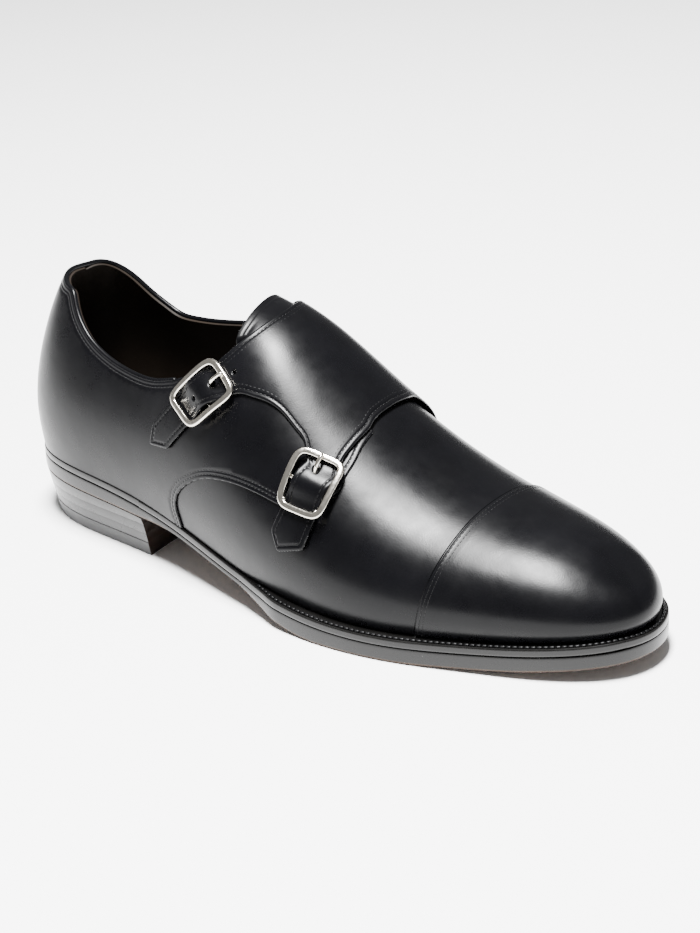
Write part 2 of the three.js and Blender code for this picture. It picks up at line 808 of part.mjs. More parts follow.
// The prong comes up from the centre bar through the strap's hole and rests on the frame.
function prong(strap) {
  const top = STRAP_CREST + STRAP + PRONG + GAP;
  const rest = FRAME_LIFT + WIRE + PRONG + GAP;
  const foot = onBuckle(strap, 0, 0, BAR_LIFT + BAR + GAP);
  const knee = onBuckle(strap, 0, 0, top + PRONG / 2);
  const tip = onBuckle(strap, -strap.buckle.length / 2 - PRONG, 0, rest);
  return fromManifold(rod(foot, knee, PRONG).add(rod(onBuckle(strap, PRONG, 0, top), tip, PRONG)));
}

// The hole in the strap that the prong comes through.
function prongHole(strap) {
  return rod(onBuckle(strap, 0, 0, BAR_LIFT), onBuckle(strap, 0, 0, STRAP_CREST + 2 * STRAP), HOLE);
}

// ------------------------------------------------------------------ the shoe

function monkFlap() {
  const holes = Object.values(STRAPS).map(prongHole);
  return fromManifold(holes.reduce((solid, hole) => solid.subtract(hole), toManifold(flap())));
}

piece('outsole', outsole(), soleLeather());
piece('upper', upper(), calf());
piece('tongue', tongue(), calf());
piece('insole', insole(), liningLeather());
piece('welt', welt(), edgeBlack());
piece('heel_rand', heelRand(), edgeBlack());
HEEL.forEach((row) => piece(row.name, heelPiece(row), edgeBlack()));
piece('toe_cap', toeCap(), calf());
piece('monk_flap', monkFlap(), calf());
Object.entries(STRAPS).forEach(([name, strap]) => {
  piece(`buckle_${name}`, buckle(strap), nickel());
  piece(`prong_${name}`, prong(strap), nickel());
});

export default shoe;
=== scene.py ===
# Double monk strap shoe, right foot: the finish of every surface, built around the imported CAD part.
#
# All shapes are worked out in the last's own measure: millimetres, with x from the back of the heel to the toe,
# +y to the inner (medial) side and z up from the floor. They are turned into metres in the frame at the end.
# A place on the leather is given in pattern coordinates: x, and "over", the distance over the leather from
# the ridge of the instep, minus towards the outer side.

import json
import math

import bpy
import numpy as np
from mathutils import Matrix, Vector
from mathutils.geometry import delaunay_2d_cdt
from mathutils.kdtree import KDTree


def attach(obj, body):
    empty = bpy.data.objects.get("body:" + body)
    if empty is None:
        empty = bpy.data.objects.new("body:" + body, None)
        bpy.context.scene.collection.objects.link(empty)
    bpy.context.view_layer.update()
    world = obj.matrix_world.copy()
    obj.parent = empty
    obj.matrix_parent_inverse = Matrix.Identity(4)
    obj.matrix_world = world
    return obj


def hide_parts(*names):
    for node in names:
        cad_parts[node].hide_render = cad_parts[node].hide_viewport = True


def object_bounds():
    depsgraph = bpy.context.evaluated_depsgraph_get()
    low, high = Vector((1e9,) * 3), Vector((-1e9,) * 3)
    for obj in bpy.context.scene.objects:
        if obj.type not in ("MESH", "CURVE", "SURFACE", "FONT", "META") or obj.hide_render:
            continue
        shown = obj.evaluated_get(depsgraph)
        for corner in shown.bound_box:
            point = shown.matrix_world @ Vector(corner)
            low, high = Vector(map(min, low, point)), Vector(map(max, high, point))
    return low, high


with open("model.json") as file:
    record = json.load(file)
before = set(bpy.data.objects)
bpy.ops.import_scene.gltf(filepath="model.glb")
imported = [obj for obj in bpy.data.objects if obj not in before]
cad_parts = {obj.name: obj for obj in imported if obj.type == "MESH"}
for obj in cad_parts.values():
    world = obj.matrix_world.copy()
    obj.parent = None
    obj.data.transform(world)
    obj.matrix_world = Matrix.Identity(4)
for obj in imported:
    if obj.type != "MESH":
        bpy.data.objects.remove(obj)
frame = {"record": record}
cad_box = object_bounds()

MM = 0.001
HEEL_CENTRE = 36.0             # x of the heel's centre, which is the frame's origin
HEEL_REST = np.array(next(m for m in frame["record"]["mounts"] if m["name"] == "heel_rest")["pos_m"])


def metres(points):
    return (np.asarray(points, float) - [HEEL_CENTRE, 0, 0]) * MM + HEEL_REST


# ---------------------------------------------------------------- the last

# Sections of the last: foot and top are heights of the feather line and of the ridge; outer and inner are half
# widths; crest moves the ridge sideways; tuck pulls the feather line in; side and crown are shares of the half
# width higher up; lean tips the back line forward.
SECTION_NAMES = ("x", "foot", "top", "crest", "outer", "inner", "tuck", "side", "crown", "lean")
SECTIONS = [dict(zip(SECTION_NAMES, row)) for row in (
    (-2, 31, 124, 0, 0, 0, 0, 1, 1, 1),
    (1.5, 31, 124, 0, 24, 24, 1.5, 0.78, 0.45, 0.95),
    (23, 30.8, 124, 0, 36.5, 35, 3, 0.68, 0.43, 0.5),
    (52, 29.6, 122, 0, 39, 36, 3.5, 0.65, 0.43, 0),
    (82, 26.6, 117, 1, 42, 35, 4, 0.69, 0.44, 0),
    (110, 21, 113, 2, 47.5, 36, 5, 0.77, 0.44, 0),
    (137, 15.6, 104, 3, 53, 39, 5, 0.8, 0.42, 0),
    (163, 11.6, 84, 4, 56, 42, 5, 0.82, 0.4, 0),
    (188, 9.8, 66.5, 4, 55.5, 45, 4.5, 0.84, 0.42, 0),
    (212, 9.7, 54.5, 4, 51, 45.5, 4, 0.86, 0.44, 0),
    (235, 10.6, 48.5, 4, 44.5, 42, 3.5, 0.87, 0.45, 0),
    (256, 12.2, 44.8, 4, 37, 36, 3, 0.87, 0.46, 0),
    (274, 14, 40.2, 4, 28.5, 28.5, 2.5, 0.87, 0.47, 0),
    (288.5, 15.6, 35, 4, 17, 17.5, 2, 0.86, 0.48, 0),
    (294, 16.2, 32.5, 4, 0, 0, 0, 1, 1, 0),
)]

# Columns of the net from the ridge down to the feather line: share of the height, forward lean of the back
# line at the heel, and the rounding of the front line at the toe.
COLUMNS = [dict(zip(("lift", "lean", "toe"), row)) for row in (
    (1, 27, -14),
    (0.95, 24, -9),
    (0.66, 7.8, 1.5),
    (0.26, -2.7, 3.5),
    (0, 0, 0),
)]
TOE_SHARES = (0.2, 0.7, 1)
ROWS = len(SECTIONS) - 1
SIDE = len(COLUMNS) - 1


def net_point(i, place):
    section = SECTIONS[i]
    k = abs(place)
    column = COLUMNS[k]
    half = section["outer"] if place < 0 else section["inner"]
    widths = (0, half * section["crown"], half * section["side"], half, max(0, half - section["tuck"]))
    toe = TOE_SHARES[i - ROWS + 2] * column["toe"] if i >= ROWS - 2 else 0
    shift = section["crest"] * column["lift"]
    if k == SIDE:
        shift = 0.6 * section["crest"] if i >= ROWS - 4 else 0
    return np.array((
        section["x"] + section["lean"] * column["lean"] + toe,
        (-widths[k] if place < 0 else widths[k]) + shift,
        section["foot"] + (section["top"] - section["foot"]) * column["lift"],
    ))


def control(i, place):
    """Control points beyond the net: the sides change places past heel and toe, and it runs on downwards."""
    if i < 0:
        return control(-i, -place)
    if i > ROWS:
        return control(2 * ROWS - i, -place)
    if abs(place) <= SIDE:
        return net_point(i, place)
    edge = SIDE if place > 0 else -SIDE
    inside = edge - (1 if place > 0 else -1)
    return 2 * net_point(i, edge) - net_point(i, inside)


NET = np.array([[control(i, j) for j in range(-SIDE - 1, SIDE + 2)] for i in range(-1, ROWS + 2)])


def spline(t):
    return (1 - t)**3 / 6, (3 * t**3 - 6 * t**2 + 4) / 6, (-3 * t**3 + 3 * t**2 + 3 * t + 1) / 6, t**3 / 6


def last(u, v):
    """Points of the last: u from 0 at the heel to 1 at the toe, v from -1 (outer side) over 0 (ridge) to 1."""
    u, v = np.broadcast_arrays(np.asarray(u, float), np.asarray(v, float))
    i = np.clip(np.floor(u * ROWS).astype(int), 0, ROWS - 1)
    j = np.clip(np.floor(v * SIDE).astype(int), -SIDE, SIDE - 1)
    along = spline(u * ROWS - i)
    across = spline(v * SIDE - j)
    return sum((along[a] * across[b])[..., None] * NET[i + a, j + b + SIDE] for a in range(4) for b in range(4))


STEP = 1e-3


def unit(vectors):
    return vectors / np.maximum(np.linalg.norm(vectors, axis=-1, keepdims=True), 1e-12)


def normal(u, v):
    return unit(np.cross(last(u + STEP, v) - last(u - STEP, v), last(u, v + STEP) - last(u, v - STEP)))


def skin(u, v, lift):
    return last(u, v) + normal(u, v) * np.asarray(lift, float)[..., None]


# ---------------------------------------------------------------- pattern coordinates

U_LINES = np.linspace(0, 1, 701)
V_LINES = np.linspace(-1, 1, 401)
OVER_LINES = np.arange(-125, 125.1, 0.5)


def pattern_tables():
    grid = last(U_LINES[:, None], V_LINES)
    steps = np.linalg.norm(np.diff(grid, axis=1), axis=2)
    over = np.concatenate([np.zeros((len(U_LINES), 1)), np.cumsum(steps, axis=1)], axis=1)
    over -= over[:, len(V_LINES) // 2, None]
    columns = np.array([np.interp(OVER_LINES, row, V_LINES) for row in over])
    return over, columns


OVER_TABLE, COLUMN_TABLE = pattern_tables()
STATION_X = last(U_LINES, 0.5)[:, 0]


def station(x):
    return np.interp(x, STATION_X, U_LINES)


def to_uv(x, over):
    u = station(x)
    row = np.clip(u * (len(U_LINES) - 1), 0, len(U_LINES) - 1.001)
    column = np.clip((np.asarray(over) - OVER_LINES[0]) / 0.5, 0, len(OVER_LINES) - 1.001)
    i, j = row.astype(int), column.astype(int)
    s, t = row - i, column - j
    near, far = ((1 - t) * COLUMN_TABLE[k, j] + t * COLUMN_TABLE[k, j + 1] for k in (i, i + 1))
    return u, (1 - s) * near + s * far


def on_last(x, over, lift):
    u, v = to_uv(x, over)
    return skin(u, v, lift)


def over_at(u, v):
    """Distance over the leather from the ridge to a column v at stations u."""
    rows = np.clip(np.asarray(u) * (len(U_LINES) - 1), 0, len(U_LINES) - 1).round().astype(int)
    pairs = zip(rows, np.broadcast_to(v, rows.shape))
    return np.array([np.interp(column, V_LINES, OVER_TABLE[row]) for row, column in pairs])


# ---------------------------------------------------------------- curves

def smooth(t, low, high):
    s = np.clip((np.asarray(t, float) - low) / (high - low), 0, 1)
    return s * s * (3 - 2 * s)


def curve(rows, column):
    """A smooth curve through a table's first column and another one, without overshoot."""
    p = np.array([row[0] for row in rows], float)
    q = np.array([row[column] for row in rows], float)
    slopes = np.diff(q) / np.diff(p)
    before = np.concatenate([slopes[:1], slopes])
    after = np.concatenate([slopes, slopes[-1:]])
    product = before * after
    tangents = np.where(product > 0, 2 * product / np.where(before + after == 0, 1, before + after), 0)

    def value(where):
        s = np.clip(np.asarray(where, float), p[0], p[-1])
        i = np.clip(np.searchsorted(p, s) - 1, 0, len(p) - 2)
        span = p[i + 1] - p[i]
        t = (s - p[i]) / span
        rise = t * t * (3 - 2 * t)
        return (q[i] + (q[i + 1] - q[i]) * rise + t * (1 - t)**2 * span * tangents[i]
                + t * t * (t - 1) * span * tangents[i + 1])
    return value


def resample(points, spacing):
    points = np.asarray(points, float)
    lengths = np.concatenate([[0], np.cumsum(np.linalg.norm(np.diff(points, axis=0), axis=1))])
    count = max(2, int(round(lengths[-1] / spacing)) + 1)
    where = np.linspace(0, lengths[-1], count)
    return np.stack([np.interp(where, lengths, points[:, k]) for k in range(points.shape[1])], axis=1)


def flowing(points, spacing=0.7):
    """A smooth line through points, resampled evenly."""
    p = np.asarray(points, float)
    padded = np.concatenate([[2 * p[0] - p[1]], p, [2 * p[-1] - p[-2]]])
    line = []
    for k in range(1, len(padded) - 2):
        a, b, c, d = padded[k - 1:k + 3]
        knots = np.cumsum([0] + [max(np.linalg.norm(m - n), 1e-6)**0.5 for m, n in ((b, a), (c, b), (d, c))])
        t = np.linspace(knots[1], knots[2], 12, endpoint=False)[:, None]
        a1 = (knots[1] - t) / (knots[1] - knots[0]) * a + (t - knots[0]) / (knots[1] - knots[0]) * b
        a2 = (knots[2] - t) / (knots[2] - knots[1]) * b + (t - knots[1]) / (knots[2] - knots[1]) * c
        a3 = (knots[3] - t) / (knots[3] - knots[2]) * c + (t - knots[2]) / (knots[3] - knots[2]) * d
        b1 = (knots[2] - t) / (knots[2] - knots[0]) * a1 + (t - knots[0]) / (knots[2] - knots[0]) * a2
        b2 = (knots[3] - t) / (knots[3] - knots[1]) * a2 + (t - knots[1]) / (knots[3] - knots[1]) * a3
        line.append((knots[2] - t) / (knots[2] - knots[1]) * b1 + (t - knots[1]) / (knots[2] - knots[1]) * b2)
    line.append(p[-1:])
    return resample(np.concatenate(line), spacing)


def relaxed(line, passes):
    """A line with its inner points drawn towards their neighbours."""
    for _ in range(passes):
        line[1:-1] = 0.25 * line[:-2] + 0.5 * line[1:-1] + 0.25 * line[2:]
    return line


def rounded(points, radius, spacing=0.5):
    """Straight runs between points, with its corners rounded."""
    p = np.asarray(points, float)
    line = [p[0]]
    for before, corner, after in zip(p[:-2], p[1:-1], p[2:]):
        back = min(radius, 0.45 * np.linalg.norm(before - corner))
        ahead = min(radius, 0.45 * np.linalg.norm(after - corner))
        start = corner + unit(before - corner) * back
        end = corner + unit(after - corner) * ahead
        for t in np.linspace(0, 1, 7):
            line.append((1 - t)**2 * start + 2 * t * (1 - t) * corner + t * t * end)
    line.append(p[-1])
    return resample(line, spacing)


# ---------------------------------------------------------------- meshes

def add_object(name, data):
    thing = bpy.data.objects.new(name, data)
    bpy.context.scene.collection.objects.link(thing)
    return thing


def make_object(name, points, faces, material, normals=None, sharp=None):
    """A mesh object from points in the last's measure, riding on the shoe."""
    mesh = bpy.data.meshes.new(name)
    mesh.from_pydata(metres(points).tolist(), [], [tuple(int(i) for i in face) for face in faces])
    mesh.validate()
    mesh.materials.append(material)
    mesh.polygons.foreach_set("use_smooth", np.ones(len(mesh.polygons), bool))
    if sharp is not None:
        mesh.set_sharp_from_angle(angle=math.radians(sharp))
    if normals is not None:
        mesh.normals_split_custom_set_from_vertices([tuple(n) for n in normals])
    mesh.update()
    piece = add_object(name, mesh)
    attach(piece, "root")
    return piece


def grid_faces(rows, columns, start=0, flip=False):
    faces = []
    for i in range(rows - 1):
        for j in range(columns - 1):
            near = start + i * columns + j
            face = (near, near + columns, near + columns + 1, near + 1)
            faces.append(face[::-1] if flip else face)
    return faces


def grid_rim(rows, columns):
    """Down the first column of a grid, along its last row and back up the last column."""
    return ([i * columns for i in range(rows)] + [(rows - 1) * columns + j for j in range(1, columns)]
            + [i * columns + columns - 1 for i in range(rows - 2, -1, -1)])


def ring_faces(rings, sides, flip=False, closed=False, capped=False):
    """Faces between rings of points; closed joins the last ring to the first, capped fills both ends."""
    faces = []
    for i in range(rings if closed else rings - 1):
        here, after = i * sides, (i + 1) % rings * sides
        for k in range(sides):
            ahead = (k + 1) % sides
            if flip:
                faces.append((here + k, after + k, after + ahead, here + ahead))
            else:
                faces.append((here + k, here + ahead, after + ahead, after + k))
    if capped:
        first, final = tuple(range(sides)), tuple(range((rings - 1) * sides, rings * sides))
        faces += [first, final[::-1]] if flip else [first[::-1], final]
    return faces


def slab(top, bottom):
    """Points and faces of a closed slab between two sheets with the same rows and columns."""
    rows, columns = top.shape[:2]
    count = rows * columns
    points = np.concatenate([top.reshape(-1, 3), bottom.reshape(-1, 3)])
    faces = grid_faces(rows, columns) + grid_faces(rows, columns, count, flip=True)
    edge = grid_rim(rows, columns) + list(range(columns - 2, 0, -1))
    for a, b in zip(edge, edge[1:] + edge[:1]):
        faces.append((b, count + b, count + a, a))
    return points, faces


def merged(parts):
    """Several meshes, each points and faces, as one."""
    points, faces, total = [], [], 0
    for own_points, own_faces in parts:
        faces += [tuple(i + total for i in face) for face in own_faces]
        points.append(own_points)
        total += len(own_points)
    return np.concatenate(points), faces


def vertex_normals(points, faces):
    first, second, third = (points[faces[:, k]] for k in range(3))
    cross = np.cross(second - first, third - first)
    normals = np.zeros_like(points)
    for k in range(3):
        np.add.at(normals, faces[:, k], cross)
    return unit(normals)


def rim_edges(faces):
    """Edges of triangles that no other triangle shares, in the triangles' own direction."""
    edges = {}
    for a, b, c in faces:
        for m, n in ((a, b), (b, c), (c, a)):
            if (n, m) in edges:
                del edges[(n, m)]
            else:
                edges[(m, n)] = True
    return list(edges)


def rim_directions(edges, top, below):
    """Which points lie on the rim, and the way out over the rim at each point."""
    outward = np.zeros_like(top)
    for m, n in edges:
        side = np.cross(top[n] - top[m], below[m])
        outward[m] -= side
        outward[n] -= side
    return np.linalg.norm(outward, axis=1) > 0, -unit(outward)


def shell_faces(faces, edges, count):
    """Triangles on top, the same turned over below, and a wall round the rim."""
    return ([tuple(face) for face in faces] + [(a + count, c + count, b + count) for a, b, c in faces]
            + [(n, m, m + count, n + count) for m, n in edges])


def inside(points, loop):
    """Which points lie inside a closed loop."""
    x, y = points[:, :1], points[:, 1:]
    x0, y0 = loop[:, 0], loop[:, 1]
    x1, y1 = np.roll(x0, -1), np.roll(y0, -1)
    crossing = (y0 > y) != (y1 > y)
    slope = (x1 - x0) / np.where(y1 == y0, 1e-12, y1 - y0)
    return (crossing & (x < x0 + slope * (y - y0))).sum(axis=1) % 2 == 1


def joined(parts):
    """The loop of a patch's outline, which of its points are free, and whether it runs anticlockwise."""
    loop = np.concatenate([line[:-1] for line, _ in parts])
    free = np.concatenate([np.full(len(line) - 1, flag) for line, flag in parts])
    after = np.roll(loop, -1, axis=0)
    return loop, free, np.sum(loop[:, 0] * after[:, 1] - loop[:, 1] * after[:, 0]) > 0


def to_the_left(loop):
    tangent = unit(np.roll(loop, -1, axis=0) - np.roll(loop, 1, axis=0))
    return np.stack([-tangent[:, 1], tangent[:, 0]], axis=1)


class Distance:
    """Distance from pattern points to the nearest of some lines."""

    def __init__(self, lines):
        dense = np.concatenate([resample(line, 0.12) for line in lines]) if lines else np.zeros((0, 2))
        self.tree = KDTree(max(1, len(dense)))
        if not len(dense):
            self.tree.insert((1e6, 1e6, 0), 0)
        for k, (x, y) in enumerate(dense):
            self.tree.insert((x, y, 0), k)
        self.tree.balance()

    def __call__(self, points):
        return np.array([self.tree.find((x, y, 0))[2] for x, y in points])


def looped(line):
    return np.vstack([line, line[:1]])


def seed_points(loop, free, holes, distance, spacing, rings):
    """Points inside a patch: rows along its free edges, rows round its holes and an even field elsewhere."""
    extra = []
    between = free & np.roll(free, 1)
    inward = to_the_left(loop)
    for d in rings:
        ring = loop[between] + inward[between] * d
        ring = ring[inside(ring, loop)]
        extra.append(ring[distance(ring) > 0.96 * d])
    low, high = loop.min(axis=0), loop.max(axis=0)
    xs, ys = (np.arange(low[k] + spacing / 2, high[k], spacing) for k in (0, 1))
    field = np.stack(np.meshgrid(xs, ys, indexing="ij"), axis=-1)
    field[1::2, :, 1] += spacing / 2
    field = field.reshape(-1, 2)
    field = field[inside(field, loop)]
    field = field[distance(field) > (rings[-1] if rings else 0) + 0.45 * spacing]
    field = field[Distance([looped(loop)])(field) > 0.4 * spacing]
    for hole in holes:
        centre = hole.mean(axis=0)
        for d in (0.3, 0.7):
            extra.append(centre + (hole - centre) * (1 + d / np.linalg.norm(hole[0] - centre)))
    groups = [ring for ring in extra if len(ring)] + [field]
    for hole in holes:
        groups = [group[~inside(group, hole)] for group in groups]
    return groups


def triangulated(loops, groups):
    """Triangles through groups of points within loops: the first loop is the outline, the others are holes."""
    edges, start = [], 0
    for line in loops:
        edges += [(start + k, start + (k + 1) % len(line)) for k in range(len(line))]
        start += len(line)
    seeds = [Vector(p) for p in np.concatenate(loops + groups)]
    flat, _, faces, *_ = delaunay_2d_cdt(seeds, edges, [], 1, 1e-4)
    flat = np.array([tuple(p) for p in flat])
    faces = np.array([tuple(f) for f in faces])
    for hole in loops[1:]:
        faces = faces[~inside(flat[faces].mean(axis=1), hole)]
    used, faces = np.unique(faces, return_inverse=True)
    return flat[used], faces.reshape(-1, 3)


ON_EDGE = 0.01                 # points nearer than this to a free edge lie on it
PROBE = 0.04                   # step over which a patch's slopes are taken


def patch(name, parts, lift, thickness, relief, material, spacing=1.5, rings=(), holes=()):
    """A closed piece of leather on the last.

    parts are the lines of its outline in order, each (points, free): a free edge is shaped by relief, which
    gives the surface's height by the distance from it. lift is the height of the top face, by x and over.
    """
    loop, free, anticlockwise = joined(parts)
    if not anticlockwise:
        loop, free = loop[::-1], np.roll(free[::-1], -1)
    distance = Distance([line for line, flag in parts if flag] + [looped(hole) for hole in holes])
    flat, faces = triangulated([loop, *holes], seed_points(loop, free, holes, distance, spacing, rings))

    def surface(points):
        return on_last(*points.T, lift(*points.T) + relief(distance(points)))

    top = surface(flat)
    bottom = on_last(*flat.T, lift(*flat.T) - thickness)
    normals = unit(np.cross(surface(flat + [PROBE, 0]) - top, surface(flat + [0, PROBE]) - top))
    below = -unit(normals)
    edges = rim_edges(faces)
    rim, outward = rim_directions(edges, top, below)
    turned = rim & (distance(flat) < ON_EDGE)
    normals[turned] = unit(outward[turned] + 0.25 * normals[turned])
    below[rim] = outward[rim]
    solid = shell_faces(faces, edges, len(flat))
    return make_object(name, np.concatenate([top, bottom]), solid, material, np.concatenate([normals, below]))


# ---------------------------------------------------------------- materials

class Finish:
    """A material, with short ways to add procedural nodes. Scales are in waves per metre."""

    def __init__(self, name):
        self.material = bpy.data.materials.new(name)
        self.material.use_nodes = True
        self.tree = self.material.node_tree

    def feed(self, node, inputs):
        """Sets a node's inputs by name, each from another node's output or to a constant."""
        for name, value in inputs.items():
            if isinstance(value, bpy.types.NodeSocket):
                self.tree.links.new(value, node.inputs[name])
            else:
                node.inputs[name].default_value = value

    def add(self, kind, inputs, output, **settings):
        node = self.tree.nodes.new("ShaderNode" + kind)
        for name, value in settings.items():
            setattr(node, name, value)
        self.feed(node, inputs)
        return node.outputs[output]

    def noise(self, scale, detail, roughness, stretch=None):
        place = self.add("TexCoord", {}, "Object")
        if stretch:
            place = self.add("Mapping", {"Vector": place, "Scale": stretch}, "Vector")
        inputs = {"Vector": place, "Scale": scale, "Detail": detail, "Roughness": roughness}
        return self.add("TexNoise", inputs, "Fac")

    def pores(self, scale):
        inputs = {"Vector": self.add("TexCoord", {}, "Object"), "Scale": scale, "Smoothness": 0.6}
        return self.add("TexVoronoi", inputs, "Distance", feature="SMOOTH_F1")

    def ramp(self, source, low, high, low_value, high_value):
        inputs = {"Value": source, "From Min": low, "From Max": high, "To Min": low_value, "To Max": high_value}
        return self.add("MapRange", inputs, "Result")

    def mixed(self, factor, first, second):
        inputs = {"Factor": factor, "A": (*first, 1), "B": (*second, 1)}
        return self.add("Mix", inputs, "Result", data_type="RGBA")

    def bump(self, height, strength, distance, **under):
        inputs = {"Height": height, "Strength": strength, "Distance": distance, **under}
        return self.add("Bump", inputs, "Normal")

    def shaded(self, **inputs):
        """The finished material; inputs are the shader's own, with _ for each space in a name."""
        named = {name.replace("_", " "): value for name, value in inputs.items()}
        self.feed(self.tree.nodes["Principled BSDF"], named)
        return self.material


def leather(name, dark, light, rough, grain, shine, pores=1700):
    """Leather with a fine pebbled grain, faint blotches and an uneven polish."""
    finish = Finish(name)
    tone = finish.ramp(finish.noise(38, 3, 0.55), 0.3, 0.72, 0, 1)
    polish = finish.ramp(finish.noise(95, 4, 0.6), 0.3, 0.7, rough * 0.86, rough * 1.16)
    fine = finish.bump(finish.pores(pores), grain, 0.00006)
    coarse = finish.bump(finish.noise(420, 3, 0.6), grain, 0.00008, Normal=fine)
    slow = finish.bump(finish.noise(55, 2, 0.5), 0.25, 0.0006, Normal=coarse)
    return finish.shaded(Base_Color=finish.mixed(tone, dark, light), Roughness=polish, Normal=slow,
                         Specular_IOR_Level=shine, IOR=1.5)


def metal(name, colour, rough):
    """Polished metal with fine scratches and a slightly uneven tint."""
    finish = Finish(name)
    scratches = finish.noise(900, 3, 0.6, (1, 1, 0.15))
    darker = tuple(channel * 0.86 for channel in colour)
    return finish.shaded(Base_Color=finish.mixed(finish.noise(160, 2, 0.5), darker, colour), Metallic=1,
                         Roughness=finish.ramp(scratches, 0.3, 0.75, rough * 0.75, rough * 1.5),
                         Normal=finish.bump(scratches, 0.12, 0.00004))


def waxed_thread(name, dark, light):
    finish = Finish(name)
    twist = finish.noise(3200, 2, 0.5)
    return finish.shaded(Base_Color=finish.mixed(twist, dark, light), Normal=finish.bump(twist, 0.6, 0.0001),
                         Roughness=0.42, Specular_IOR_Level=0.16)


CALF = leather("calf_black", (0.0009, 0.0009, 0.0012), (0.0016, 0.0016, 0.0021), 0.29, 0.14, 0.12)
LINING = leather("lining_brown", (0.006, 0.0042, 0.003), (0.011, 0.0078, 0.0055), 0.55, 0.3, 0.12)
SOCK = leather("sock_brown", (0.012, 0.008, 0.0055), (0.018, 0.012, 0.008), 0.5, 0.3, 0.25)
EDGE_DARK = leather("edge_polished", (0.002, 0.0019, 0.0019), (0.0038, 0.0036, 0.0034), 0.27, 0.12, 0.26, 900)
SOLE_BROWN = leather("sole_brown", (0.02, 0.011, 0.0065), (0.035, 0.02, 0.012), 0.5, 0.4, 0.2, 900)
HEEL_BREAST = leather("breast_brown", (0.006, 0.003, 0.0018), (0.012, 0.0055, 0.003), 0.35, 0.25, 0.3, 900)
RUBBER = leather("top_piece_rubber", (0.002, 0.002, 0.002), (0.0035, 0.0035, 0.0035), 0.4, 0.4, 0.3, 1200)
NICKEL = metal("nickel", (0.70, 0.66, 0.585), 0.15)
THREAD = waxed_thread("thread_black", (0.0006, 0.0006, 0.0008), (0.0018, 0.0018, 0.0022))


# ---------------------------------------------------------------- lines of the pattern

TOP_LINE = {
    -1: [(24.2, -28.2), (33.2, -38.4), (44.1, -47), (56.9, -51.7), (71.4, -53.3), (83.7, -52.7), (95.1, -49.1)],
    1: [(44, 52.2), (54.1, 51.1), (68.5, 47.5), (80.9, 43.5), (94, 39.6), (101, 35.6), (108, 28)],
}
FLAP_REAR = [(108, 28), (115.5, 20), (122.1, 13.2), (126, 4.5), (127.2, -3.9), (125.7, -16.2), (121.2, -27.4),
             (116.9, -35)]
ARCH = [(126.4, -45.4), (128.4, -43.1), (131.9, -40.9), (137.4, -38.9), (143.5, -36.8), (149.5, -36.1),
        (156.1, -37), (160.6, -37.8), (163.1, -40), (165.4, -43)]
FLAP_FRONT = [(179, -40.5), (177.6, -37), (176.7, -34), (176.9, -24.4), (177.1, -15.5), (175.9, -10.2),
              (175.3, 1), (174.5, 11.5), (173, 19.7), (173.6, 29), (173.5, 40), (171.5, 50)]
OUTER_SEAM = [(176, -52), (170, -59), (162, -63.6), (150, -68.1), (133, -74.7), (120, -80.3), (110, -87),
              (103.5, -94), (101.6, -100), (102.3, -106), (103, -112)]
INNER_SEAM = [(171.5, 50), (160, 51), (148, 53.5), (136, 58), (124, 64.5), (114, 72.5), (106, 82), (102, 92),
              (102, 112)]
FACING = [(178.6, -14), (179.2, -21.8), (180.3, -29.8), (180.3, -36.8), (180.5, -42), (176, -52)]

STRAPS = {
    "upper": {
        "buckle": (114.6, -48.5), "length": 24.4, "width": 17.2,
        "along": (-0.652, -0.826), "across": (0.86, -0.425), "prong": 7.4,
        "sides": ([(116.9, -35), (113.6, -38.6), (103.6, -51.1), (97.2, -58.2), (88.9, -68.5)], (88.3, -77),
                  [(98.9, -75.8), (109.2, -63.3), (116.9, -53.6), (121.6, -49.2), (126.4, -45.4)]),
    },
    "lower": {
        "buckle": (170.2, -48.5), "length": 22.4, "width": 18.4,
        "along": (-0.012, -0.949), "across": (0.943, 0.362), "prong": 7.0,
        "sides": ([(165.4, -43), (164.1, -48), (163.2, -57), (161.7, -65.3), (159.6, -74.2)], (163.6, -79.6),
                  [(174.9, -70.4), (176.4, -61), (177, -53), (177.6, -46), (179, -40.5)]),
    },
}
FLAP_TOP = 2.5
HUMP = 2.5


def feather(u, side):
    return np.stack([np.interp(u, U_LINES, STATION_X), over_at(u, side)], axis=1)


def cut_at_feather(line, side):
    """The part of a line that lies above the feather line, ended on it."""
    edge = over_at(station(line[:, 0]), side)
    keep = np.abs(line[:, 1]) < np.abs(edge)
    last_kept = len(keep) - 1 - np.argmax(keep[::-1])
    end = (line[last_kept, 0], edge[last_kept])
    return np.vstack([line[:last_kept + 1], end])


# Height of the collar's edge at the heel, where the pattern coordinates run close together.
COLLAR = [(4, 106.2, 106.2), (14, 106, 105.2), (24, 104, 98.2), (33, 96, 88.6), (44, 87.3, 82)]


def collar_start(side):
    """Pattern points of the collar's edge from the heel's back line to where the drawn line takes over."""
    height = curve(COLLAR, 1 if side < 0 else 2)
    columns = side * np.linspace(0, 1, 400)
    until = station(TOP_LINE[side][0][0]) - 0.004
    points = []
    for u in np.linspace(0, until, 18):
        line = last(u, columns)
        above = line[:, 2] - height(line[:, 0])
        below = np.argmax(above < 0)
        v = np.interp(0, [-above[below - 1], -above[below]], [columns[below - 1], columns[below]])
        points.append((np.interp(u, U_LINES, STATION_X), over_at(np.array([u]), v)[0]))
    return points


def opening(side):
    return relaxed(flowing(collar_start(side) + TOP_LINE[side]), 60)


OPENING = {side: opening(side) for side in (-1, 1)}


# ---------------------------------------------------------------- leather edges

def round_edge(radius, stitches=(), depth=0.13):
    """Relief of a free edge: a quarter round, and a shallow groove under each row of stitches."""
    def relief(d):
        s = np.clip(1 - d / radius, 0, 1)
        height = -radius * (1 - np.sqrt(np.clip(1 - s * s, 0, 1)))
        for at in stitches:
            height -= depth * np.exp(-((d - at) / 0.45)**2)
        return height
    return relief


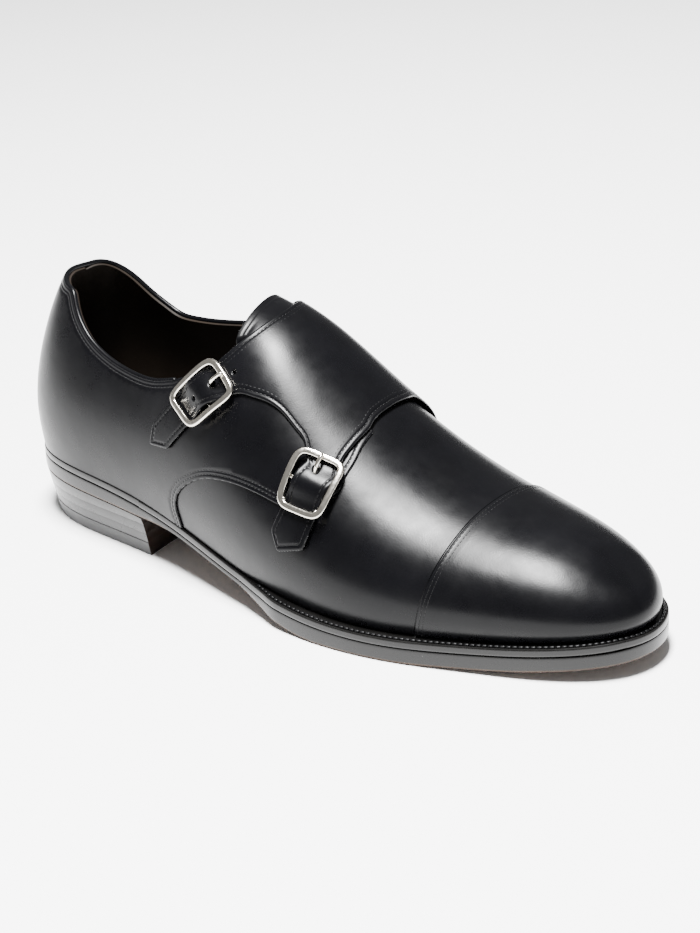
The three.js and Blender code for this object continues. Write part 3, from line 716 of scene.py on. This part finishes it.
EDGE_RADIUS = 0.55
OUTER_STITCHES = (1.7, 3.2)    # distances of the outer quarter's stitch rows from its edge
RINGS = (0.06, 0.18, 0.35, 0.6, 0.9, 1.2, 1.6, 2.1, 2.7, 3.4)


class Buckle:
    """Places on the leather by a buckle: so far along its strap towards the tail, and so far across it."""

    def __init__(self, strap):
        self.centre = np.array(strap["buckle"], float)
        self.length, self.width = strap["length"], strap["width"]
        self.axes = np.array([strap["along"], strap["across"]])

    def spot(self, a, b):
        return self.centre + np.stack(np.broadcast_arrays(a, b), axis=-1) @ self.axes

    def place(self, a, b, lift):
        at = self.spot(a, b)
        return on_last(at[..., 0], at[..., 1], lift)

    def local(self, x, over):
        offset = np.stack([x, over], axis=-1) - self.centre
        ways = offset @ np.linalg.inv(self.axes)
        return ways[..., 0], ways[..., 1]


BUCKLES = {name: Buckle(strap) for name, strap in STRAPS.items()}


def hump(x, over):
    """How much a strap is raised where it climbs over its buckle's bar."""
    rise = 0
    for buckle in BUCKLES.values():
        a, b = buckle.local(x, over)
        along = np.clip(np.abs(a) / (buckle.length / 2 - 1.2), 0, 1)
        rise = rise + np.cos(along * math.pi / 2)**2 * (1 - smooth(np.abs(b), 8.8, 15))
    return HUMP * rise


def flap_top(x, over):
    """Height of the inner quarter, which thickens smoothly into the flap."""
    x, over = np.asarray(x, float), np.asarray(over, float)
    on_flap = (1 - smooth(over, 31, 51)) * smooth(x, 96, 106)
    on_flap = np.where(over < 20, 1, on_flap)
    return 1.0 + (FLAP_TOP - 1.0) * on_flap + hump(x, over)


# ---------------------------------------------------------------- quarters, vamp and flap

def quarter_outline():
    seam = cut_at_feather(flowing(OUTER_SEAM), -1)
    low = feather(np.linspace(station(seam[-1, 0]), 0, 110), -1)
    low[0] = seam[-1]
    back = resample([low[-1], OPENING[-1][0]], 1.2)
    hidden = flowing([(95.1, -49.1), (103, -45), (110, -40.5), (117, -34.5), (124, -28), (132, -22.5),
                  (145, -16),
                      (160, -12), (178.6, -14)], 1.4)
    facing = flowing(FACING)
    return [(OPENING[-1], True), (hidden, True), (facing, True), (seam, True), (low, False), (back, False)]


def flap_outline():
    parts = [(OPENING[1], True), (flowing(FLAP_REAR, 0.6), True)]
    down, tip, up = STRAPS["upper"]["sides"]
    parts.append((strap_line(down, tip, up), True))
    parts.append((flowing(ARCH, 0.6), True))
    down, tip, up = STRAPS["lower"]["sides"]
    parts.append((strap_line(down, tip, up), True))
    parts.append((flowing(FLAP_FRONT, 0.6), True))
    seam = cut_at_feather(flowing(INNER_SEAM), 1)
    low = feather(np.linspace(station(seam[-1, 0]), 0, 110), 1)
    low[0] = seam[-1]
    back = resample([low[-1], OPENING[1][0]], 1.2)
    return parts + [(seam, True), (low, False), (back, False)]


def strap_line(down, tip, up):
    """Down one side of a strap, round its pointed tail and up the other side."""
    first, second = flowing(down, 0.6), flowing(up, 0.6)
    tail = rounded([first[-6], down[-1], tip, up[0], second[5]], 1.6, 0.45)
    return np.concatenate([first[:-6], tail[:-1], second[5:]])


def ring_hole(centre, radius, count=20):
    angles = np.linspace(0, 2 * math.pi, count, endpoint=False)
    return np.asarray(centre) + radius * np.stack([np.cos(angles), np.sin(angles)], axis=1)


def level(height):
    """The height of a face that lies evenly on the last."""
    return lambda x, over: np.full(np.shape(x), float(height))


quarter_level = level(0.9)
outer_parts = quarter_outline()
lateral_quarter = patch("quarter_outer", outer_parts, quarter_level, 0.85,
                        round_edge(EDGE_RADIUS, OUTER_STITCHES), CALF, 1.6, RINGS)

FLAP_STITCHES, FLAP_SECOND = 1.8, 3.3
flap_parts = flap_outline()
prong_holes = [ring_hole(BUCKLES[name].spot(-STRAPS[name]["prong"] + 1.2, 0.0), 1.15) for name in STRAPS]
spare = BUCKLES["upper"].spot(3.6, 0.0)
holes = prong_holes + [ring_hole(spare, 0.75, 16), ring_hole(BUCKLES["upper"].spot(-16.2, 0.8), 0.7, 16)]


flap = patch("quarter_inner_and_flap", flap_parts, flap_top, 1.45, round_edge(0.75, (FLAP_STITCHES,), 0.16),
             CALF, 1.5, RINGS, holes)


CAP_ROW = 0.689                # station of the cap's edge on the ridge
CAP_TOP = 0.85
CAP_STITCHES = (1.6, 3.0)      # distances of the cap's stitch rows from its edge
LAST_LENGTH = 300.0


def vamp_outline():
    start, end = station(98.0), CAP_ROW + 0.02
    low = feather(np.linspace(start, end, 110), -1)
    outer, inner = (over_at(np.array([end]), side)[0] for side in (-1, 1))
    front = np.stack([np.full(90, np.interp(end, U_LINES, STATION_X)), np.linspace(outer, inner, 90)], axis=1)
    high = feather(np.linspace(end, start, 110), 1)
    rest = flowing([tuple(high[-1]), (100, 94), (112, 80), (130, 64), (144, 46), (151, 28), (153, 10),
                (153, -10),
                    (150, -28), (143, -46), (134, -62), (112, -76), (99, -92), tuple(low[0])], 1.5)
    return [(low, False), (front, False), (high, False), (rest, True)]


vamp = patch("vamp", vamp_outline(), level(0), 1.2, round_edge(0.5), CALF, 2.2, (0.2, 0.5, 1.0))


# ---------------------------------------------------------------- toe cap

def cap_edge(v):
    return CAP_ROW - 0.021 * np.asarray(v)**2


def round_tip(points, tip, facing, flat=8.0, until=17.0, reach=24.0):
    """Rounds the surface near the tip, where the last's columns all meet, from the surface around it."""
    side = unit(np.cross(facing, [0, 1, 0]))
    across = np.cross(facing, side)
    offset = points - tip
    p, q, h = offset @ side, offset @ across, offset @ facing
    away = np.hypot(p, q)
    powers = [(a, b) for a in range(5) for b in range(5 - a)]
    terms = np.stack([(p / reach)**a * (q / reach)**b for a, b in powers], axis=1)
    used = (away > flat) & (away < reach) & (h > -reach)
    weight = np.sqrt(1 - smooth(away[used], reach * 0.6, reach) + 0.02)
    fit = np.linalg.lstsq(terms[used] * weight[:, None], h[used] * weight, rcond=None)[0]
    share = (1 - smooth(away, flat, until)) * (h > -reach)
    return points + (share * (terms @ fit - h))[:, None] * facing


def toe_cap():
    rows, columns = 110, 141
    v = np.linspace(-1, 1, columns)
    edge = cap_edge(v)
    u = edge + (1 - edge) * np.linspace(0, 1, rows)[:, None]
    u[-1] = 1
    middle = (columns - 1) // 2
    index = np.arange(rows * columns).reshape(rows, columns)
    index[-1, middle + 1:] = index[-1, :middle][::-1]
    faces = []
    for i in range(rows - 1):
        for j in range(columns - 1):
            a, b, c, d = index[i, j], index[i + 1, j], index[i + 1, j + 1], index[i, j + 1]
            faces += [face for face in ((a, b, c), (a, c, d)) if len(set(face)) == 3]
    used, faces = np.unique(np.array(faces), return_inverse=True)
    faces = faces.reshape(-1, 3)
    points = last(u, v).reshape(-1, 3)[used]
    points = round_tip(points, last(1.0, 0.0), unit(np.array([0.72, 0.0, 0.69])))
    normals = vertex_normals(points, faces)
    behind = (u.reshape(-1)[used] - cap_edge(np.broadcast_to(v, u.shape).reshape(-1)[used])) * LAST_LENGTH
    relief = round_edge(EDGE_RADIUS, CAP_STITCHES)(np.maximum(behind, 0))
    top = points + normals * (CAP_TOP + relief)[:, None]
    bottom = points + normals * 0.02
    shading, below = vertex_normals(top, faces), -normals
    edges = rim_edges(faces)
    rim, outward = rim_directions(edges, top, below)
    shading[rim] = unit(outward[rim] + 0.3 * shading[rim])
    below[rim] = outward[rim]
    solid = shell_faces(faces, edges, len(points))
    return make_object("toe_cap_leather", np.concatenate([top, bottom]), solid, CALF,
                       np.concatenate([shading, below]))


cap = toe_cap()


# ---------------------------------------------------------------- lining, tongue and sock

HIDDEN_EDGE = [(103, 45), (110, 40.5), (117, 34.5), (124, 28), (132, 23.5), (140, 20.5), (148, 16), (152, 9),
               (153, 3), (170, 3)]


def lining():
    columns = 26
    rows = []
    for side, us in ((-1, np.linspace(station(158), 0, 110)), (1, np.linspace(0, station(158), 110)[1:])):
        narrower = 1 if side < 0 else 0.9
        join = np.array(list(OPENING[side]) + [(x, side * over * narrower) for x, over in HIDDEN_EDGE])
        x = np.interp(us, U_LINES, STATION_X)
        edge = to_uv(x, np.interp(x, join[:, 0], join[:, 1]))[1]
        for u, v in zip(us, edge):
            rows.append([(u, w) for w in v + (side - v) * np.linspace(0, 1, columns)])
    grid = np.array(rows)
    top = skin(grid[..., 0], grid[..., 1], -1.0)
    bottom = skin(grid[..., 0], grid[..., 1], -2.4)
    points, faces = slab(top, bottom)
    return make_object("quarter_lining", points, faces, LINING, sharp=50)


lining_piece = lining()

TONGUE_EDGE = [(-31, 121.5), (-22, 118.8), (-13.5, 118.1), (-1, 116.1), (12, 112.7), (22, 108.7), (31, 106)]


# Half widths of the throat under the flap, outer and inner, by x.
THROAT = [(84, 52.7, 42.7), (95, 49.1, 41), (103, 45, 38.5), (110, 40.5, 33), (117, 34.5, 27.5), (124, 28, 24),
          (132, 22.5, 21.5), (140, 19.5, 19.5), (150, 18, 18)]
throat_outer, throat_inner = curve(THROAT, 1), curve(THROAT, 2)
THROAT_END, THROAT_ROUND = 150, 18


def throat_room(x, over):
    """Distance from the throat's edge, positive inside it."""
    into = np.clip((x - THROAT_END) / THROAT_ROUND + 1, 0, 1)
    half = np.where(over < 0, throat_outer(x), throat_inner(x)) * np.sqrt(1 - into * into)
    return half - 2 - np.abs(over)


def tongue_lift(x, over):
    swell = smooth(throat_room(x, over), 0, 8) * (1 - smooth(x, 130, 147))
    return -3.4 * (1 - swell)


def tongue():
    edge = flowing([(x, over) for over, x in TONGUE_EDGE], 0.6)
    right = flowing([tuple(edge[-1]), (122, 31.5), (140, 31), (163, 24)], 1.4)
    front = resample([right[-1], (163, -24)], 1.6)
    left = flowing([(163, -24), (140, -31), (128, -31.5), tuple(edge[0])], 1.4)
    return patch("tongue_leather", [(edge, True), (right, True), (front, True), (left, True)], tongue_lift, 1.7,
                 round_edge(0.6, (2.2, 4.0)), CALF, 1.6, RINGS)


tongue_piece = tongue()


# ---------------------------------------------------------------- sole, welt and heel

GAP, WELT, BREAST = 0.3, 3.2, 76.0

# The sole by x: height of its underside and of its bevel, then how far its edge stands out on either side.
TREAD = [(-5, 21.6, 0), (70, 19, 0), (84, 17.9, 0.8), (100, 16, 1.4), (120, 12.2, 1.4), (135, 9.2, 1.2),
         (148, 6, 0.7), (160, 2.8, 0.2), (172, 0.7, 0), (181, 0, 0), (213, 0, 0), (235, 0.9, 0), (252, 2.1, 0),
         (270, 4, 0), (285, 5.8, 0), (302, 8, 0)]
SOLE_EDGE = [(-5, 1.2, 1.2), (70, 1.4, 1.2), (100, 1, 0.2), (136, 1.2, 0.4), (150, 2.6, 1.4), (162, 4.6, 3.4),
             (185, 5, 4.4), (230, 5, 4.8), (302, 5, 5)]

# Layers of the heel: name, bottom, top (None: up to the sole), inset at the bottom and at the top.
HEEL = [("top_piece", 0, 6, 2.9, 1.7), ("lift_1", 6, 10.5, 1.9, 1), ("lift_2", 10.5, 15, 1, 0.1),
        ("lift_3", 15, None, 0.1, -1)]
tread, bevel = curve(TREAD, 1), curve(TREAD, 2)
edge_out = {-1: curve(SOLE_EDGE, 1), 1: curve(SOLE_EDGE, 2)}
seat_line = last(np.linspace(0, 1, 400), -1.0)
order = np.argsort(seat_line[:, 0])


def seat(x):
    return np.interp(x, seat_line[order, 0], seat_line[order, 2])


def outwards(u, side):
    along = last(u + STEP, side) - last(u - STEP, side)
    return unit(np.stack([-along[..., 1] * side, along[..., 0] * side, 0 * along[..., 0]], axis=-1))


def outline(u, side, out):
    """Points of the feather line at stations u, moved out in plan."""
    u = np.asarray(u, float)
    return last(u, float(side)) + outwards(u, side) * np.broadcast_to(out, u.shape)[..., None]


def sole_edge(u, side, extra=0.0):
    return outline(u, side, edge_out[side](last(np.asarray(u, float), float(side))[..., 0]) + extra)


def stations(start, end, count):
    """Stations spread with more of them near the ends of the last."""
    t = np.linspace(0, 1, 4000)
    spread = 0.5 * t + 0.5 * (1 - np.cos(math.pi * t)) / 2
    wanted = np.linspace(np.interp(start, spread, t), np.interp(end, spread, t), count)
    return np.interp(wanted, t, spread)


def across_shoe(us, out, shares):
    """Rows of points across the shoe between its two sides, moved out in plan."""
    outer, inner = (outline(us, side, out)[:, None] for side in (-1, 1))
    return outer * (1 - shares[None, :, None]) + inner * shares[None, :, None]


def at_height(points, z):
    return np.stack([points[..., 0], points[..., 1], np.broadcast_to(z, points[..., 0].shape)], axis=-1)


def outsole():
    """The sole as a closed section swept from heel to toe; its underside is brown and its edge is dark."""
    us = stations(0, 1, 260)
    inner = {side: outline(us, side, -7.3) for side in (-1, 1)}
    x = last(us, -1.0)[:, 0]
    top = seat(x) - GAP - WELT - 0.05
    low, lift = tread(x), bevel(x)
    edge = [(out, top + down, 0) for out, down in ((-0.3, 0.0), (-0.1, -0.04), (0.0, -0.2), (0.04, -1.2))]
    edge += [(0.05, (top + low) / 2, 0), (0.0, low + lift + 1.3, 0)]
    edge += [(out, low + lift + up, 1) for out, up in ((-0.02, 0.95), (-0.12, 0.45), (-0.45, 0.08))]
    edge.append((-0.9, low + lift * 0.9, 1))
    halves = {side: [(inner[side], top, 0)] + [(sole_edge(us, side, out), z, under) for out, z, under in edge]
              + [(inner[side], low + lift * 0.25, 1)] for side in (-1, 1)}
    middle = [(inner[-1] * (1 - share) + inner[1] * share, low, 1) for share in (0.25, 0.5, 0.75)]
    section = halves[-1] + middle + halves[1][::-1]
    grid = np.stack([at_height(points, z) for points, z, _ in section], axis=1)
    count, sides = grid.shape[:2]
    brown = [int(section[k][2] and section[(k + 1) % sides][2]) for k in range(sides)] * (count - 1)
    piece = make_object("outsole_leather", grid.reshape(-1, 3), ring_faces(count, sides), EDGE_DARK, sharp=40)
    piece.data.materials.append(SOLE_BROWN)
    if len(piece.data.polygons) == len(brown):
        piece.data.polygons.foreach_set("material_index", brown)
    return piece


outsole_piece = outsole()


def strip(name, walk, profile, material):
    """A strip along the sole's edge: walk holds (stations, side) runs, profile holds (out, down) pairs."""
    rings = []
    for us, side in walk:
        x = sole_edge(us, side)[:, 0]
        ring = [at_height(sole_edge(us, side, out), seat(x) + down) for out, down in profile]
        rings.append(np.stack(ring, axis=1))
    grid = np.concatenate(rings)
    faces = ring_faces(*grid.shape[:2], flip=True, capped=True)
    return make_object(name, grid.reshape(-1, 3), faces, material, sharp=40)


BREAST_AT = float(station(BREAST))
WELT_PROFILE = [(-7.0, -0.3), (-3.0, -0.3), (-2.5, -0.5), (-1.75, -0.62), (-1.0, -0.5), (-0.7, -0.3),
                (-0.25, -0.42), (-0.05, -0.75), (0.0, -1.3), (0.0, -2.4), (0.0, -3.1), (-0.14, -3.28),
                (-7.0, -3.28)]
front = stations(BREAST_AT, 1, 230)
welt = strip("welt_strip", [(front, -1), (front[-2::-1], 1)], WELT_PROFILE, EDGE_DARK)
rear = stations(0, BREAST_AT, 110)
RAND_PROFILE = [(-7.0, -0.3), (-1.2, -0.2), (-0.5, -0.22), (-0.12, -0.5), (0.0, -1.0), (0.0, -2.5),
                (-0.1, -3.0),
                (-0.4, -3.2), (-7.0, -3.2)]
rand = strip("heel_rand_strip", [(rear[::-1], -1), (rear[1:], 1)], RAND_PROFILE, EDGE_DARK)


def heel_layer(name, bottom, top, inset_bottom, inset_top, material):
    """A layer of the heel: edges slightly rounded, so that a faint line shows, and a brown front face."""
    us = stations(0, BREAST_AT, 90)
    shares = np.linspace(0, 1, 15)
    levels = [(0, 0.05), (0.015, 0.015), (0.03, 0.0), (0.97, 0.0), (0.985, 0.015), (1, 0.05)]
    sheets = []
    for level, back in levels:
        inset = inset_bottom + (inset_top - inset_bottom) * level + back
        rows = across_shoe(us, -inset, shares)
        reach = smooth(us, BREAST_AT * 0.86, BREAST_AT)
        rows[:, :, 0] -= (2.5 * 4 * shares * (1 - shares))[None] * reach[:, None]
        rows[-1, :, 0] -= back * 0.8
        high = (tread(rows[:, :, 0]) - GAP if top is None else top)
        z = bottom + (high - bottom) * level
        sheets.append(at_height(rows, z))
    points = np.concatenate([sheet.reshape(-1, 3) for sheet in sheets])
    count, columns = sheets[0].shape[:2]
    size = count * columns
    faces = grid_faces(count, columns, flip=True) + grid_faces(count, columns, (len(sheets) - 1) * size)
    rim = grid_rim(count, columns)
    for base in range(0, (len(sheets) - 1) * size, size):
        for a, b in zip(rim, rim[1:] + rim[:1]):
            faces.append((base + a, base + b, base + size + b, base + size + a))
    piece = make_object(name, points, faces, material, sharp=35)
    piece.data.materials.append(HEEL_BREAST)
    last_row = size - columns
    for face in piece.data.polygons:
        if all(v % size >= last_row for v in face.vertices):
            face.material_index = 1
    return piece


heel_pieces = {name: heel_layer("heel_" + name, *sizes, RUBBER if name == "top_piece" else EDGE_DARK)
               for name, *sizes in HEEL}


def sock():
    us = stations(0, 1, 150)
    shares = np.linspace(0, 1, 25)
    rows = across_shoe(us, -3.4, shares)
    x = rows[..., 0]
    dish = 1.2 * (2 * np.abs(shares - 0.5))[None]**3
    points, faces = slab(at_height(rows, seat(x) + 3 + dish), at_height(rows, seat(x)))
    return make_object("sock_leather", points, faces, SOCK, sharp=50)


sock_piece = sock()


# ---------------------------------------------------------------- buckles

FRAME_LIFT, BAR_LIFT = 4.1, 2.6


def frame_path(buckle, count=160):
    """Middle line of the frame: a rounded square whose sides bow out a little."""
    angle = np.linspace(0, 2 * math.pi, count, endpoint=False)
    c, s = np.cos(angle), np.sin(angle)
    power = 2 / 5.2
    a = 1.01 * buckle.length / 2 * np.sign(c) * np.abs(c)**power
    b = 1.01 * buckle.width / 2 * np.sign(s) * np.abs(s)**power
    loop = np.stack([a, b], axis=1)
    return resample(np.vstack([loop, loop[:1]]), 0.45)[:-1]


def buckle_frame(name):
    buckle = BUCKLES[name]
    plan = frame_path(buckle)
    path = buckle.place(plan[:, 0], plan[:, 1], FRAME_LIFT)
    above = buckle.place(plan[:, 0], plan[:, 1], FRAME_LIFT + 0.5)
    up = unit(above - path)
    along = unit(np.roll(path, -1, axis=0) - np.roll(path, 1, axis=0))
    across = unit(np.cross(along, up))
    up = unit(np.cross(across, along))
    half, high, corner = 1.32, 0.98, 0.72
    section = []
    for cx, cy, start in ((half - corner, high - corner, 0), (-half + corner, high - corner, 90),
                          (-half + corner, -high + corner, 180), (half - corner, -high + corner, 270)):
        for k in range(5):
            angle = math.radians(start + 90 * k / 4)
            section.append((cx + corner * math.cos(angle), cy + corner * math.sin(angle)))
    ring = np.array(section)
    points = path[:, None] + across[:, None] * ring[None, :, :1] + up[:, None] * ring[None, :, 1:2]
    parts = [(points.reshape(-1, 3), ring_faces(len(path), len(ring), closed=True))]
    if name == "lower":
        for b in (-1, 1):
            spot = np.array(buckle.length / 2 - 2.0), np.array(b * (buckle.width / 2 - 1.9))
            parts.append(ball(buckle.place(*spot, FRAME_LIFT), 1.0))
    half_bar = buckle.width / 2
    bar = buckle.place(np.zeros(12), np.linspace(-half_bar, half_bar, 12), np.full(12, BAR_LIFT))
    parts.append(round_rod(bar, np.full(12, 0.75)))
    return make_object("frame_" + name, *merged(parts), NICKEL, sharp=60)


def ball(centre, radius):
    rows, sides = 9, 14
    points = []
    for i in range(rows + 1):
        polar = math.pi * i / rows
        for k in range(sides):
            turn = 2 * math.pi * k / sides
            direction = (math.sin(polar) * math.cos(turn), math.sin(polar) * math.sin(turn), math.cos(polar))
            points.append(centre + radius * np.array(direction))
    return np.array(points), ring_faces(rows + 1, sides, flip=True)


def round_rod(path, radii, sides=14):
    """A rod along a path with a radius at each of its points, and rounded ends."""
    along = unit(np.gradient(path, axis=0))
    across = unit(np.cross(along, np.array([0.3, 0.2, 1.0])))
    up = unit(np.cross(across, along))
    ends = [0.97, 0.85, 0.6, 0.25]

    def end_ring(k, way, e):
        return path[k] + way * along[k] * radii[k] * math.sqrt(1 - e * e), across[k], up[k], radii[k] * e

    rings = [end_ring(0, -1, e) for e in ends[::-1]]
    rings += list(zip(path, across, up, radii)) + [end_ring(-1, 1, e) for e in ends]
    turn = np.linspace(0, 2 * math.pi, sides, endpoint=False)
    c, s = np.cos(turn)[:, None], np.sin(turn)[:, None]
    points = np.concatenate([centre + radius * (c * a + s * b) for centre, a, b, radius in rings])
    return points, ring_faces(len(rings), sides, capped=True)


def prong(name):
    """The prong: up from the bar, out of the strap's hole and over to the frame, where its tip rests."""
    buckle, reach = BUCKLES[name], STRAPS[name]["prong"]
    tip = -buckle.length / 2 - 0.2
    hole = -reach
    a = [0, -1.5, hole + 2.2, hole + 1.2, hole + 0.2, hole - 1.0, (hole + tip) / 2 - 0.4, tip + 0.7, tip]
    lift = [2.9, 2.95, 3.1, 3.9, 4.9, 5.55, 5.95, 5.95, 5.7]
    line = flowing([(p, q) for p, q in zip(a, lift)], 0.35)
    path = buckle.place(line[:, 0], np.zeros(len(line)), line[:, 1])
    radii = 0.86 - 0.12 * smooth(np.arange(len(line)), len(line) * 0.55, len(line) - 1)
    points, faces = round_rod(path, radii)
    return make_object("prong_pin_" + name, points, faces, NICKEL, sharp=60)


frames = {name: buckle_frame(name) for name in STRAPS}
prongs = {name: prong(name) for name in STRAPS}


# ---------------------------------------------------------------- stitches

def capsule(sides=7):
    """A unit stitch along x: half length 1, half width 1, half height 1."""
    end = [(1, 0.0), (0.93, 0.45), (0.72, 0.85), (0.4, 1.0)]
    rings = [(-x, r) for x, r in end] + end[::-1]
    turn = np.linspace(0, 2 * math.pi, sides, endpoint=False)
    points = np.array([(x, r * math.cos(t), r * math.sin(t)) for x, r in rings for t in turn])
    return points, ring_faces(len(rings), sides)


CAPSULE = capsule()


def stitch_points(places, along, up, length, width, height):
    across = unit(np.cross(up, along))
    up = unit(np.cross(along, across))
    base, faces = CAPSULE
    points = places[:, None]
    for k, (size, way) in enumerate(((length, along), (width, across), (height, up))):
        points = points + base[None, :, k:k + 1] * size / 2 * way[:, None]
    count = len(base)
    every = [tuple(i + k * count for i in face) for k in range(len(places)) for face in faces]
    return points.reshape(-1, 3), every


def stitches(name, rows, pitch=1.85, size=(1.45, 0.42, 0.3)):
    """Rows of stitches on the leather; each row is (pattern line, lift function)."""
    parts = []
    for line, lift in rows:
        dots = resample(line, pitch)
        if len(dots) < 3:
            continue
        ahead = 0.3 * unit(np.gradient(dots, axis=0))
        height = lift(dots[:, 0], dots[:, 1])
        start, end = (on_last(*(dots + way).T, height) for way in (-ahead, ahead))
        up = on_last(*dots.T, height + 0.5) - on_last(*dots.T, height)
        parts.append(stitch_points((start + end) / 2, unit(end - start), unit(up), *size))
    return make_object(name, *merged(parts), THREAD)


def beside(parts, distance, offset):
    """Lines at an offset inside the free edges of a patch."""
    loop, free, anticlockwise = joined(parts)
    ring = loop + to_the_left(loop) * (offset if anticlockwise else -offset)
    good = free & inside(ring, loop) & (distance(ring) > 0.985 * offset)
    lines, current = [], []
    for point, keep in zip(ring, good):
        if keep and (not current or np.linalg.norm(point - current[-1]) < 4):
            current.append(point)
        else:
            if len(current) > 3:
                lines.append(np.array(current))
            current = [point] if keep else []
    if len(current) > 3:
        lines.append(np.array(current))
    return lines


def rows_beside(parts, offsets, lift, sink=0.1):
    distance = Distance([line for line, flag in parts if flag])
    lines = [line for offset in offsets for line in beside(parts, distance, offset)]
    return [(line, lambda x, over: lift(x, over) - sink) for line in lines]


seam_only = [(line, flag and k in (2, 3)) for k, (line, flag) in enumerate(outer_parts)]
outer_stitches = stitches("stitches_outer_quarter", rows_beside(seam_only, OUTER_STITCHES, quarter_level))
collar_only = [(line, flag and k == 0) for k, (line, flag) in enumerate(outer_parts)]
flap_free = [(line, flag and k > 0) for k, (line, flag) in enumerate(flap_parts)]
flap_rows = rows_beside(flap_free, (FLAP_STITCHES,), flap_top)
strap_gap = Distance([flap_parts[2][0], flap_parts[4][0]])
for line, height in rows_beside(flap_free, (FLAP_SECOND,), flap_top):
    clear = strap_gap(line) > 4.5
    cuts = np.flatnonzero(np.diff(clear.astype(int))) + 1
    runs = zip(np.split(line, cuts), np.split(clear, cuts))
    flap_rows += [(run, height) for run, kept in runs if kept[0] and len(run) > 8]
flap_stitches = stitches("stitches_flap", flap_rows)
collar_rows = rows_beside(collar_only, (2.6,), quarter_level)
collar_rows += rows_beside([(line, k == 0) for k, (line, _) in enumerate(flap_parts)], (2.6,), flap_top)
stitches("stitches_collar", collar_rows)


def cap_rows():
    rows = []
    for offset in CAP_STITCHES:
        v = np.linspace(-0.97, 0.97, 240)
        u = cap_edge(v) + offset / LAST_LENGTH
        rows.append(np.stack([np.interp(u, U_LINES, STATION_X), over_at(u, v)], axis=1))
    return [(line, level(CAP_TOP - 0.1)) for line in rows]


cap_stitches = stitches("stitches_cap", cap_rows())


# ---------------------------------------------------------------- collar binding

def binding():
    """The rolled edge round the collar, from one front corner over the back of the heel to the other."""
    line = np.concatenate([OPENING[-1][::-1], OPENING[1][1:]])
    path = on_last(line[:, 0], line[:, 1], np.full(len(line), -0.25))
    path = relaxed(resample(path, 0.9), 3)
    points, faces = round_rod(path, np.full(len(path), 1.15), 12)
    return make_object("collar_binding", points, faces, CALF)


binding_piece = binding()


def welt_stitches():
    start = float(station(150))
    parts = []
    for side in (-1, 1):
        us = np.linspace(start, 1, 800)
        line = resample(at_height(sole_edge(us, side, -1.75), seat(sole_edge(us, side)[:, 0]) - 0.16), 2.3)
        up = np.broadcast_to([0.0, 0.0, 1.0], line.shape)
        parts.append(stitch_points(line, unit(np.gradient(line, axis=0)), up, 2.15, 1.35, 1.0))
    return make_object("stitches_welt", *merged(parts), THREAD)


welt_thread = welt_stitches()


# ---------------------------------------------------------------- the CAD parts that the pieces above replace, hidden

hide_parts("upper")
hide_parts("monk_flap")
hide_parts("toe_cap")
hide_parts("tongue")
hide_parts("insole")
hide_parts("outsole")
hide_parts("welt")
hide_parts("heel_rand")
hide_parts("heel_top_piece")
for k in (1, 2, 3):
    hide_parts("heel_lift_%d" % k)
for name in STRAPS:
    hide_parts("buckle_" + name)
    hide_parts("prong_" + name)


# ---------------------------------------------------------------- floor, light and camera

def floor():
    finish = Finish("floor_white")
    mottled = finish.mixed(finish.noise(0.8, 2, 0.5), (0.9, 0.9, 0.9), (0.92, 0.92, 0.92))
    mesh = bpy.data.meshes.new("floor")
    half = 9.0
    corners = [(-half, -half, 0), (half, -half, 0), (half, half, 0), (-half, half, 0)]
    mesh.from_pydata(corners, [], [(0, 1, 2, 3)])
    mesh.materials.append(finish.shaded(Base_Color=mottled, Roughness=0.6))
    plane = add_object("floor", mesh)
    plane.location.z = cad_box[0][2] - 0.0002
    return plane


def softbox(name, place, target, size, energy):
    light = bpy.data.lights.new(name, "AREA")
    light.shape = "RECTANGLE"
    light.size, light.size_y = size
    light.energy = energy
    lamp = add_object(name, light)
    lamp.location = place
    lamp.rotation_euler = (Vector(target) - Vector(place)).to_track_quat("-Z", "Y").to_euler()
    return lamp


floor()
world = bpy.data.worlds.new("studio")
bpy.context.scene.world = world
world.use_nodes = True
background = world.node_tree.nodes["Background"]
background.inputs["Color"].default_value = (1, 1, 1, 1)
background.inputs["Strength"].default_value = 0.35
softbox("light_overhead", (0.2, -0.19, 1.53), (0.12, 0.0, 0.05), (0.26, 0.6), 205)

AZIMUTH, ELEVATION, ROLL = math.radians(39.775), math.radians(24.208), math.radians(-2.938)
level_part = math.cos(ELEVATION)
away = Vector((math.sin(AZIMUTH) * level_part, -math.cos(AZIMUTH) * level_part, math.sin(ELEVATION)))
right = (-away).cross(Vector((0, 0, 1))).normalized()
upward = right.cross(-away).normalized()
right, upward = (right * math.cos(ROLL) + upward * math.sin(ROLL),
                 upward * math.cos(ROLL) - right * math.sin(ROLL))
lens = bpy.data.cameras.new("camera")
lens.lens = 110.07
lens.sensor_width = 36
lens.sensor_fit = "HORIZONTAL"
lens.clip_start, lens.clip_end = 0.01, 50
camera = add_object("camera", lens)
turned = Matrix((right, upward, away)).transposed().to_4x4()
camera.matrix_world = Matrix.Translation((0.61571, -0.59435, 0.39461)) @ turned
bpy.context.scene.camera = camera
